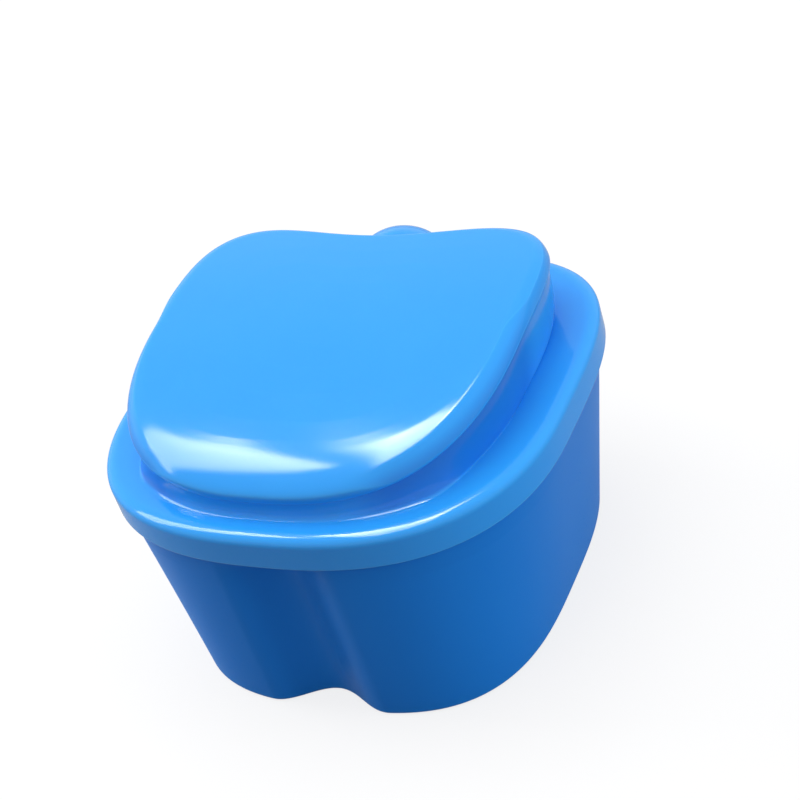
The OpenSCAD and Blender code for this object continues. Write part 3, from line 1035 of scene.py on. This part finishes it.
    def rings(self, phi: Array) -> Array:
        """The lid's section in every direction, from the top's middle down the outside and up the inside."""
        strength, lip = self.ridge_strength(phi), self.lip_round
        flat = np.maximum(self.rounding(phi), self.ridge_line(phi) + self.ridge_room * strength)[None] + 0.1
        low, rise = self.edge_rise + self.edge_drop, mix(self.edge_rise, self.side_rise, strength)
        rim = quadrant((self.land_crown, self.land_top), (0, self.land_top - self.roll), 16,
                  square=self.land_square)
        rim += quadrant((0, self.skirt_low + lip), (lip, self.skirt_low), upright=True)
        rim += quadrant((self.skirt_wall - lip, self.skirt_low), (self.skirt_wall, self.skirt_low + lip))
        rim.append((self.skirt_wall, self.land_under))
        out = [self.plate_ring(flat, 0, phi, s) for s in (0.02, 0.2, 0.4, 0.6, 0.8, 0.93, 0.98)]
        out += self.edge_rings(phi)
        out += [self.plate_ring(self.overhang * (1 - math.cos(a)), -mix(rise, low, math.sin(a)), phi)
                for a in quarter(9)[1:]]
        out += [self.neck_ring(a, 0, self.land_top, low, phi) for a in quarter(26)[::-1]]
        out += [self.skirt_ring(z, inset, phi) for inset, z in rim]
        out += [self.neck_ring(a, self.wall, self.land_under, self.wall, phi) for a in quarter(16)]
        inner = self.overhang + self.wall
        out += [self.plate_ring(inner, -self.wall, phi, s) for s in (0.97, 0.8, 0.55, 0.3, 0.02)]
        return np.stack(out)

    def paint_neck_shade(self, shell: bpy.types.Object, rings: Array, phi: Array) -> None:
        """Paints shade on the outside of the neck under the plate's overhang, most at the sides.

        The mark is a step up in height over the land, times a step in depth below the plate's surface.

        Args:
            shell: the lofted lid.
            rings: its grid of points.
            phi: directions.
        """
        z, below = rings[..., 2], self.crown(rings[..., 1]) - rings[..., 2]
        deep = np.clip((z - self.land_top - 0.1) / 0.5, 0, 1) * np.clip((below - 1.0) / 2.6, 0, 1)
        deep *= mix(0.15, 1.0, self.ridge_strength(phi) * mix(0.15, 1.0, self.ahead(phi)))
        deep[int(z.mean(axis=1).argmin()):] = 0
        values = np.empty(len(shell.data.vertices), np.float32)
        layer = shell.data.attributes["edge"].data
        layer.foreach_get("value", values)
        # Painted shade: the mark is taken off the edge attribute, which pushes the neck's outside below 0
        values[:deep.size] -= deep.ravel()
        layer.foreach_set("value", values)

    def boss(self) -> bpy.types.Object:
        """The boss behind the dip: a superelliptic dome, a straight side and a flared foot."""
        r, flare, sunk = self.boss_radius, self.boss_flare, self.land_top - self.boss_sink
        spring = self.boss_top - self.boss_dome
        profile = quadrant((0, self.boss_top), (r, spring), 30, square=self.boss_square, first=0.03)
        profile += quadrant((r, self.land_top + flare), (r + flare, self.land_top), 7, upright=True)
        profile += [(r + flare, sunk), (0.5, sunk)]
        return revolve("boss", profile, (0, self.boss_y, 0), count=96)

    def build(self, hinge: Hinge) -> bpy.types.Object:
        """The lid with its boss and hinge knuckle.

        Args:
            hinge: the hinge whose knuckle it carries.

        Returns:
            The piece.
        """
        phi = directions(self.around)
        rings = guarded(self.rings(phi))
        shell = loft("lid_shell", rings)
        # Painted shade on the outside of the neck, under the plate
        self.paint_neck_shade(shell, rings, phi)
        top = self.land_top - self.roll - hinge.z
        arm = slab("knuckle", hinge.arm_outline(top), -hinge.knuckle_length / 2,
                   hinge.knuckle_length / 2, (hinge.y, hinge.z))
        return joined([shell, self.boss(), arm], "hinged_lid")


@dataclass(frozen=True)
class Basket:
    """The strainer basket: a slotted wall that follows the cup's groove, a holed floor, feet and two ears."""

    cup: Cup = field(default_factory=Cup)
    gap: float = 0.8
    wall: float = 1.6
    low: float = 5.5
    floor: float = 1.6
    top: float = 45.7
    rim_height: float = 2.2
    rim_bead: float = 0.9
    slot_rows: int = 3
    slot_band: float = 3.0
    edge_band: float = 4.5
    wall_round: float = 0.5
    floor_round: float = 1.0
    brim_round: float = 0.4
    slot_round: float = 0.22
    cells: int = 84
    fine: int = 4
    hole_diameter: float = 4.4
    hole_pitch: float = 8.5
    foot_diameter: float = 6.0
    foot_height: float = 2.5
    foot_spread: float = 21.0
    ear_radius: float = 3.4
    ear_thickness: float = 2.0
    pivot_rise: float = 0.8

    @property
    def floor_top(self) -> float:
        """Height of the floor's upper face."""
        return self.low + self.floor

    @property
    def ear_x(self) -> float:
        """Middle of each ear, from the plane of symmetry."""
        inner = self.cup.shoulder.half - self.cup.wall - self.gap - self.wall
        return inner - self.rim_bead - self.ear_thickness / 2 + 0.5

    @property
    def pivot_z(self) -> float:
        """Height of the bail's pivots."""
        return self.top + self.pivot_rise

    def levels(self) -> tuple[Array, Array]:
        """Heights of the wall's rows, and which rows have slots.

        Returns:
            The heights from the floor to the rim, and for each stretch between them whether it is slotted.
        """
        low, high = self.floor_top + self.edge_band, self.top - self.rim_height - self.edge_band
        tall = (high - low - (self.slot_rows - 1) * self.slot_band) / self.slot_rows
        edges = [self.floor_top + self.floor_round]
        for i in range(self.slot_rows):
            start = low + i * (tall + self.slot_band)
            edges += [start, start + tall]
        edges.append(self.top - self.rim_height - self.rim_bead)
        return np.array(edges), np.arange(len(edges) - 1) % 2 == 1

    def skins(self, phi: Array) -> tuple[list[Array], int]:
        """The wall's outer and inner skins, ring by ring from its foot to its rim.

        Args:
            phi: directions.

        Returns:
            The two grids of points, and the number of rings below the first of the levels.
        """
        outer = self.cup.wall + self.gap
        inner = outer + self.wall
        bead = inner + self.rim_bead
        soft, fillet, brim = self.wall_round, self.floor_round, self.brim_round
        levels, _ = self.levels()
        under = quadrant((outer + soft, self.low), (outer, self.low + soft), 4)
        outside = under + [(outer, z) for z in levels]
        outside += quadrant((outer, self.top - soft), (outer + soft, self.top), 4, upright=True)
        inside = [(inner + fillet, self.low)]
        inside += quadrant((inner + fillet, self.floor_top), (inner, self.floor_top + fillet), 4)[:-1]
        inside += [(inner, z) for z in levels] + [(bead, self.top - self.rim_height)]
        inside += quadrant((bead, self.top - brim), (bead - brim, self.top), 3, upright=True)
        grids = [self.cup.grid(column(z for _, z in skin), column(x for x, _ in skin), column([1]), phi)
                 for skin in (outside, inside)]
        return grids, len(under)

    @staticmethod
    def wall_quads(is_open: Array) -> Array:
        """The wall's quads: both skins without their slots, the slots' cheeks, the foot and the rim.

        Corner (s, i, k) lies on skin s, at ring i and direction k. A cheek runs from skin to skin along
        each side that parts a slot from the wall.

        Args:
            is_open: which cells between the rings are slots.

        Returns:
            Four corner numbers a row.
        """
        rows, n = is_open.shape[0] + 1, is_open.shape[1]
        out, into = np.arange(2 * rows * n).reshape(2, rows, n)
        out_r, into_r = np.roll(out, -1, axis=1), np.roll(into, -1, axis=1)
        whole, before, every = ~is_open, np.roll(is_open, 1, axis=1), np.ones((1, n), bool)
        sides = [
            ((out[:-1], out_r[:-1], out_r[1:], out[1:]), whole),
            ((into[:-1], into[1:], into_r[1:], into_r[:-1]), whole),
            ((out[1:-1], out_r[1:-1], into_r[1:-1], into[1:-1]), whole[:-1] & is_open[1:]),
            ((out[1:-1], into[1:-1], into_r[1:-1], out_r[1:-1]), is_open[:-1] & whole[1:]),
            ((out[:-1], into[:-1], into[1:], out[1:]), is_open & ~before),
            ((out[:-1], out[1:], into[1:], into[:-1]), whole & before),
            ((out[-1:], out_r[-1:], into_r[-1:], into[-1:]), every),
            ((out[:1], into[:1], into_r[:1], out_r[:1]), every),
        ]
        return np.concatenate([np.stack(corners, axis=2)[kept] for corners, kept in sides])

    def wall_shell(self) -> bpy.types.Object:
        """The slotted wall: every second cell is a slot, but for those beside the middle of the front."""
        n = self.cells * self.fine
        skins, first = self.skins(directions(n))
        _, slotted = self.levels()
        is_open = np.zeros((len(skins[0]) - 1, n), bool)
        cell = np.arange(n) // self.fine
        from_middle = np.minimum(cell, self.cells - 1 - cell)
        cut = (from_middle >= 2) & (from_middle % 2 == 0)
        is_open[first:first + len(slotted)] = slotted[:, None] & cut[None]
        points = np.stack(skins).reshape(-1, 3)
        used, faces = np.unique(self.wall_quads(is_open), return_inverse=True)
        piece = make_object("basket_wall", points[used], faces.reshape(-1, 4))
        bevel = piece.modifiers.new("softened", "BEVEL")
        bevel.width, bevel.segments = self.slot_round * MM, 2
        bevel.limit_method, bevel.angle_limit = "ANGLE", math.radians(50)
        bevel.harden_normals = False
        return settled(piece)

    def holes(self) -> list[tuple[float, float]]:
        """Places of the floor's holes: staggered rows that keep off the wall, the groove and the feet."""
        spread = (-self.foot_spread, self.foot_spread)
        feet = [(x, y) for x in spread for y in spread]
        margin = self.cup.wall + self.gap + self.wall + self.hole_diameter / 2 + self.edge_band / 2
        rows = math.ceil(self.cup.shoulder.back / self.hole_pitch)
        clear = (self.foot_diameter + self.hole_diameter) / 2 + 0.5
        places = []
        for j in range(-rows, rows + 1):
            for i in range(-rows, rows + 1):
                x = (i + (0 if j % 2 == 0 else 0.5)) * self.hole_pitch
                y = j * self.hole_pitch * math.sin(math.pi / 3)
                phi = np.array([math.atan2(y, x) % TURN])
                edge = self.cup.grid(column([self.low]), column([margin]), column([1]), phi)[0, 0]
                groove = self.cup.groove_depth * float(hump(np.array(x), self.cup.groove_width))
                inside = math.hypot(x, y) < math.hypot(edge[0], edge[1]) and (y >= 0 or y >= edge[1] + groove)
                if inside and min(math.hypot(x - p, y - q) for p, q in feet) > clear:
                    places.append((x, y))
        return places

    def floor_plate(self) -> bpy.types.Object:
        """The floor: a filled flat curve with a ring for each hole, drawn up to its thickness."""
        curve = bpy.data.curves.new("floor_outline", "CURVE")
        curve.dimensions, curve.fill_mode = "2D", "BOTH"
        phi = directions(168)
        inset = self.cup.wall + self.gap + self.wall / 2
        rim = self.cup.grid(column([self.low]), column([inset]), column([1]), phi)[0, :, :2]
        t = np.arange(28) / 28 * TURN
        circle = np.stack([np.cos(t), np.sin(t)], axis=1) * self.hole_diameter / 2
        for loop in [rim] + [circle + np.array(place) for place in self.holes()]:
            spline = curve.splines.new("POLY")
            spline.points.add(len(loop) - 1)
            flat = np.zeros((len(loop), 4))
            flat[:, :2] = (loop + np.array([0, CASE_SHIFT])) * MM
            flat[:, 3] = 1
            spline.points.foreach_set("co", flat.ravel())
            spline.use_cyclic_u = True
        thick = self.floor - 0.06
        curve.extrude = (thick / 2 - 0.2) * MM
        curve.bevel_depth, curve.bevel_resolution, curve.offset = 0.2 * MM, 2, -0.2 * MM
        holder = bpy.data.objects.new("floor_outline", curve)
        bpy.context.scene.collection.objects.link(holder)
        bpy.context.view_layer.update()
        graph = bpy.context.evaluated_depsgraph_get()
        mesh = bpy.data.meshes.new_from_object(holder.evaluated_get(graph))
        bpy.data.objects.remove(holder)
        mesh.transform(Matrix.Translation((0, 0, (self.floor_top - thick / 2) * MM)))
        mesh.attributes.new("edge", "FLOAT", "POINT")
        piece = bpy.data.objects.new("basket_floor", mesh)
        bpy.context.scene.collection.objects.link(piece)
        return piece

    def feet(self) -> list[bpy.types.Object]:
        """Four feet: short studs with a rounded end, turned about their axes."""
        r, soft = self.foot_diameter / 2, self.wall_round
        low, root = self.low - self.foot_height, self.low + 0.6
        profile = [(0.4, root), (r, root)]
        profile += quadrant((r, low + soft), (r - soft, low), upright=True) + [(0.4, low)]
        out = self.foot_spread
        places = [(-out, -out), (out, -out), (out, out), (-out, out)]
        return [revolve(f"foot_{i}", profile, (x, y, 0), count=40) for i, (x, y) in enumerate(places)]

    def ears(self) -> list[bpy.types.Object]:
        """The bail's two ears: a round head on a foot that runs into the rim."""
        r, foot = self.ear_radius, self.pivot_rise + self.rim_height
        a = np.radians(np.linspace(0, 180, 40))
        head = r * np.stack([np.cos(a), np.sin(a)], axis=1)
        outline = rounded(np.vstack([[[-r, -foot], [r, -foot]], head]))
        half = self.ear_thickness / 2
        return [slab(f"bail_ear_{i}", outline, x - half, x + half, (0, self.pivot_z), 0.3)
                for i, x in enumerate((-self.ear_x, self.ear_x))]

    def build(self) -> bpy.types.Object:
        """The whole basket."""
        return joined([self.wall_shell(), self.floor_plate(), *self.feet(), *self.ears()], "strainer")


@dataclass(frozen=True)
class Bail:
    """The basket's swinging bail: a strap that widens into a ribbed grip, with a hub at each end."""

    basket: Basket
    width: float = 2.6
    thickness: float = 2.4
    reach: float = 38.6
    square: float = 2.6
    grip_extra: float = 3.5
    grip_length: float = 30.0
    seat: float = 0.2
    side_gap: float = 0.3
    pivot_radius: float = 1.5
    hub_round: float = 0.35
    tip_round: float = 0.25
    rib_height: float = 0.22
    ribs: int = 9

    @property
    def x(self) -> float:
        """Middle of each side of the strap, from the plane of symmetry."""
        return self.basket.ear_x - self.basket.ear_thickness / 2 - self.side_gap - self.width / 2

    def strap(self) -> bpy.types.Object:
        """The strap: a rounded section carried along a curve.

        The path is half a superellipse from hub to hub. At place i the section is a superellipse of
        the fourth power, as wide as the strap there, standing across the path and in the upright. The
        grip's inner side moves in by a raised cosine, and cosine ribs lift its upper face.

        Returns:
            The object.
        """
        phi = np.linspace(math.pi, TURN, 260)
        line = Outline(self.x, self.reach, self.reach, self.square, 2.0)
        x, y = (row[0] for row in line.points(phi, 0.0))
        path = np.stack([x, y], axis=1)
        tangent = np.gradient(path, axis=0)
        tangent /= np.linalg.norm(tangent, axis=1, keepdims=True)
        outward = np.stack([tangent[:, 1], -tangent[:, 0]], axis=1)
        grip = self.grip_extra * hump(x, self.grip_length) * (y < -self.reach * 0.6)
        width = self.width + grip
        t = np.arange(40) / 40 * TURN
        u, v = (np.sign(w) * np.sqrt(np.abs(w)) / 2 for w in (np.cos(t), np.sin(t)))
        rib_zone = np.clip(hump(x, self.grip_length * 0.8) * 3, 0, 1) * (y < -self.reach * 0.6)
        rib_pitch = self.grip_length * 0.72 / self.ribs
        ribs = self.rib_height * rib_zone * (0.5 + 0.5 * np.cos(TURN * x / rib_pitch))
        across = u[None] * width[:, None] - (grip / 2)[:, None]
        height = v[None] * self.thickness - ribs[:, None] * np.clip(v[None] * 4 - 1, 0, 1)
        middle = self.basket.top + self.seat + self.thickness / 2
        flat = path[:, None] + outward[:, None] * across[..., None]
        rings = np.concatenate([flat, (middle + height)[..., None]], axis=2)
        return loft("bail_strap", rings, flat_ends=True)

    def hub(self, side: int) -> bpy.types.Object:
        """A hub and its pivot, turned about the pivot's axis, on side -1 or 1."""
        r, half = self.basket.ear_radius - self.side_gap, self.width / 2
        soft, end = self.hub_round, self.tip_round
        tip = half + self.side_gap + self.basket.ear_thickness - 0.1
        profile = [(0.3, tip)] + quadrant((self.pivot_radius - end, tip), (self.pivot_radius, tip - end))
        profile += [(self.pivot_radius, half)] + quadrant((r - soft, half), (r, half - soft))
        profile += quadrant((r, soft - half), (r - soft, -half), upright=True) + [(0.3, -half)]
        if side < 0:
            profile = [(radius, -place) for radius, place in profile[::-1]]
        place = (side * self.x, 0, self.basket.pivot_z)
        return revolve(f"hub_{side + 1}", profile, place, along="x", count=48)

    def build(self) -> bpy.types.Object:
        """The strap and its two hubs."""
        return joined([self.strap(), self.hub(-1), self.hub(1)], "basket_bail")


# ---------------------------------------------------------------------------
# Studio
# ---------------------------------------------------------------------------


@dataclass(frozen=True)
class Camera:
    """The camera of the photograph: found from the case's outlines."""

    azimuth: float = 35.596
    elevation: float = 36.258
    roll: float = 20.118
    distance: float = 0.41435
    aim_height: float = 0.0403972
    focal_pixels: float = 1896.97
    centre_x: float = 354.1
    centre_y: float = 438.2
    frame_pixels: int = 800

    def build(self) -> bpy.types.Object:
        """Makes the scene's camera.

        The view direction comes from the azimuth and elevation, the picture is rolled about it, and the
        frame is shifted so that the aim falls where it does in the photograph.

        Returns:
            The camera.
        """
        a, e, r = (math.radians(v) for v in (self.azimuth, self.elevation, self.roll))
        back = Vector((math.sin(a) * math.cos(e), -math.cos(a) * math.cos(e), math.sin(e)))
        right = Vector((math.cos(a), math.sin(a), 0))
        up = back.cross(right)
        level = (right * math.cos(r) - up * math.sin(r), right * math.sin(r) + up * math.cos(r))
        lens = bpy.data.cameras.new("camera")
        lens.sensor_fit, lens.sensor_width = "HORIZONTAL", 36.0
        lens.lens = self.focal_pixels / self.frame_pixels * 36.0
        lens.shift_x = (self.frame_pixels / 2 - self.centre_x) / self.frame_pixels
        lens.shift_y = (self.centre_y - self.frame_pixels / 2) / self.frame_pixels
        lens.clip_start, lens.clip_end = 0.01, 20
        camera = bpy.data.objects.new("camera", lens)
        place = Vector((0, CASE_SHIFT * MM, self.aim_height)) + back * self.distance
        turn = Matrix((level[0], level[1], back)).transposed().to_4x4()
        camera.matrix_world = Matrix.Translation(place) @ turn
        bpy.context.scene.collection.objects.link(camera)
        bpy.context.scene.camera = camera
        return camera


@dataclass(frozen=True)
class Lamp:
    """A wide soft lamp aimed at the case, which lights it and stays out of its gloss."""

    name: str
    place: tuple[float, float, float]
    size: tuple[float, float]
    power: float
    aim: tuple[float, float, float] = (0.0, 0.0, 0.04)

    def build(self) -> bpy.types.Object:
        """Makes the lamp."""
        lamp = bpy.data.lights.new(self.name, "AREA")
        lamp.shape, lamp.size, lamp.size_y, lamp.energy = "RECTANGLE", self.size[0], self.size[1], self.power
        holder = bpy.data.objects.new(self.name, lamp)
        toward = Vector(self.aim) - Vector(self.place)
        turn = toward.to_track_quat("-Z", "Y").to_matrix().to_4x4()
        holder.matrix_world = Matrix.Translation(self.place) @ turn
        holder.visible_glossy = holder.visible_camera = False
        bpy.context.scene.collection.objects.link(holder)
        return holder


@dataclass(frozen=True)
class Card:
    """A softbox that shows in the gloss alone: a bright sheet with one sharp corner, which dims away from it.

    It stands on a plane that faces the case. Places on the plane are metres to the right and up from
    the point where the plane is nearest.
    """

    name: str
    corner: tuple[float, float]
    turns: tuple[float, float]
    size: tuple[float, float]
    near: float
    far: float
    fall: tuple[float, float]
    soft: tuple[float, float]
    far_soft: tuple[float, float]
    slant: Optional[tuple[float, float]] = None
    azimuth: float = -105.0
    elevation: float = 50.0
    distance: float = 0.8

    def sheet(self) -> Array:
        """Corners of the card in metres: the sharp corner plus steps along its two edges on the plane."""
        a, e = math.radians(self.azimuth), math.radians(self.elevation)
        out = np.array([math.sin(a) * math.cos(e), -math.cos(a) * math.cos(e), math.sin(e)])
        right = np.cross(out, [0, 0, 1])
        right /= np.linalg.norm(right)
        plane = np.stack([right, np.cross(right, out)])
        edges = np.array([[math.cos(math.radians(t)), math.sin(math.radians(t))] for t in self.turns])
        steps = np.array([[0, 0], [1, 0], [1, 1], [0, 1]]) * np.array(self.size)
        return out * self.distance + (np.array(self.corner) + steps @ edges) @ plane

    def material(self) -> bpy.types.Material:
        """Its glow.

        With x and y the metres from the corner along the edges, the strength is far + (near - far) times
        e^(-x / fall_x - y / fall_y), times a soft step at each edge and, where there is a slant, a soft
        step at y = x - slant.
        """
        bench = Bench(self.name)
        place = bench.node("ShaderNodeSeparateXYZ", {}, {0: bench.node("ShaderNodeUVMap").out()})
        x, y = place.out(0), place.out(1)
        share = bench.math("EXPONENT", x * (-1 / self.fall[0]) + y * (-1 / self.fall[1]))
        level = share * (self.near - self.far) + self.far
        for axis, size, soft, far_soft in zip((x, y), self.size, self.soft, self.far_soft):
            level = level * axis.above(soft, soft) * (size - axis).above(far_soft, far_soft)
        if self.slant:
            level = level * (y - x + self.slant[0]).above(0, self.slant[1])
        glow = bench.node("ShaderNodeEmission", {}, {"Color": (1, 1, 1, 1), "Strength": level})
        clear = bench.node("ShaderNodeBsdfTransparent")
        both = bench.node("ShaderNodeAddShader", {}, {0: glow.out(), 1: clear.out()})
        bench.node("ShaderNodeOutputMaterial", {}, {"Surface": both.out()})
        return bench.material

    def build(self) -> bpy.types.Object:
        """Makes the card, seen by the gloss alone."""
        mesh = bpy.data.meshes.new(self.name)
        mesh.from_pydata(self.sheet().tolist(), [], [(0, 1, 2, 3)])
        w, h = self.size
        mesh.uv_layers.new(name="metres").data.foreach_set("uv", [0, 0, w, 0, w, h, 0, h])
        mesh.materials.append(self.material())
        piece = bpy.data.objects.new(self.name, mesh)
        bpy.context.scene.collection.objects.link(piece)
        piece.visible_camera = piece.visible_diffuse = False
        piece.visible_shadow = piece.visible_transmission = False
        return piece


@dataclass(frozen=True)
class Studio:
    """The pale floor, the even world, the lamps and the softboxes."""

    floor_size: float = 6.0
    floor_colour: float = 0.9
    floor_bounce: tuple[float, float, float] = (0.12, 0.17, 0.23)
    floor_gloss: float = 0.25
    world_level: float = 0.46
    lamps: tuple[Lamp, ...] = (
        Lamp("top_lamp", place=(-0.15, 0.1, 1.1), size=(1.0, 1.0), power=8.9),
        Lamp("left_lamp", place=(-1.05, 0.05, 0.3), size=(0.5, 0.5), power=6.6),
        Lamp("right_lamp", place=(1.05, 0.1, 0.22), size=(0.5, 0.5), power=5.0),
    )
    cards: tuple[Card, ...] = (
        Card("left_softbox", corner=(0.088, 0.096), turns=(-135.0, 136.0), size=(0.75, 0.26), near=31.0,
             far=9.5, fall=(0.075, 0.6), soft=(0.008, 0.013), far_soft=(0.12, 0.035)),
        Card("top_softbox", corner=(0.107, 0.119), turns=(48.5, 136.0), size=(0.5, 0.9), near=40.0,
             far=0.0, fall=(9.0, 0.55), soft=(0.03, 0.028), far_soft=(0.06, 0.06), slant=(0.07, 0.06)),
        Card("ridge_softbox", corner=(-0.12, -0.14), turns=(0.0, 90.0), size=(0.19, 0.30), near=7.0,
             far=26.0, fall=(9.0, 0.12), soft=(0.03, 0.04), far_soft=(0.03, 0.04), azimuth=180.0,
             elevation=78.0),
    )

    def floor(self) -> bpy.types.Object:
        """The floor: one wide square, white to the camera and in the gloss wherever no shadow falls."""
        half = self.floor_size / 2
        mesh = bpy.data.meshes.new("floor")
        corners = [(-half, -half, 0), (half, -half, 0), (half, half, 0), (-half, half, 0)]
        mesh.from_pydata(corners, [], [(0, 1, 2, 3)])
        piece = bpy.data.objects.new("floor", mesh)
        bpy.context.scene.collection.objects.link(piece)
        bench = Bench("floor_white")
        seen = self.seen(bench, self.floor_gloss)
        colour = bench.tint(seen, self.floor_bounce, (self.floor_colour,) * 3)
        shade = bench.node("ShaderNodeBsdfDiffuse", {}, {"Color": colour})
        white = bench.node("ShaderNodeEmission", {}, {"Color": (1, 1, 1, 1), "Strength": 1.0})
        both = bench.node("ShaderNodeMixShader", {}, {0: seen * 0.8, 1: shade.out(), 2: white.out()})
        bench.node("ShaderNodeOutputMaterial", {}, {"Surface": both.out()})
        mesh.materials.append(bench.material)
        return piece

    @staticmethod
    def seen(bench: Bench, gloss: float = 1.0) -> Wire:
        """How white the surroundings are: 1 seen or through glass, gloss in a reflection, else 0."""
        path = bench.node("ShaderNodeLightPath")
        white = path.out("Is Camera Ray") + path.out("Is Glossy Ray") * gloss
        return (white + path.out("Is Transmission Ray")).clamped()

    def world(self) -> None:
        """The even light all round, white where it is seen."""
        world = bpy.data.worlds.new("studio")
        bench = Bench(world)
        level = self.seen(bench) * (1 - self.world_level) + self.world_level
        glow = bench.node("ShaderNodeBackground", {}, {"Color": (1, 1, 1, 1), "Strength": level})
        bench.node("ShaderNodeOutputWorld", {}, {"Surface": glow.out()})
        bpy.context.scene.world = world

    def build(self) -> None:
        """Makes the floor, the world, the lamps and the softboxes."""
        self.floor()
        self.world()
        for light in (*self.lamps, *self.cards):
            light.build()
        bpy.context.scene.view_settings.view_transform = "Standard"


def main() -> None:
    """Builds and dresses every piece, then the studio and the camera."""
    logging.basicConfig(level=logging.INFO, format="%(name)s: %(message)s")
    hinge, cup, lid, basket = Hinge(), Cup(), Lid(), Basket()
    # The cup gets the shaded copy of the blue and the lid the lit copy: painted shade and painted light
    dress(cup.build(hinge), SHADED_CUP_PLASTIC.material(), Slot.BLUE, Body.CUP, "cup")
    dress(lid.build(hinge), LIT_LID_PLASTIC.material(), Slot.BLUE, Body.LID, "lid")
    dress(hinge.pin(), DrawnSteel().material(), Slot.STEEL, Body.CUP, "hinge_pin")
    dress(basket.build(), BASKET_PLASTIC.material(), Slot.WHITE, Body.BASKET, "strainer_basket")
    dress(Bail(basket).build(), BAIL_PLASTIC.material(), Slot.WHITE, Body.BAIL, "basket_handle")
    Studio().build()
    Camera().build()


if __name__ == "__main__":
    main()
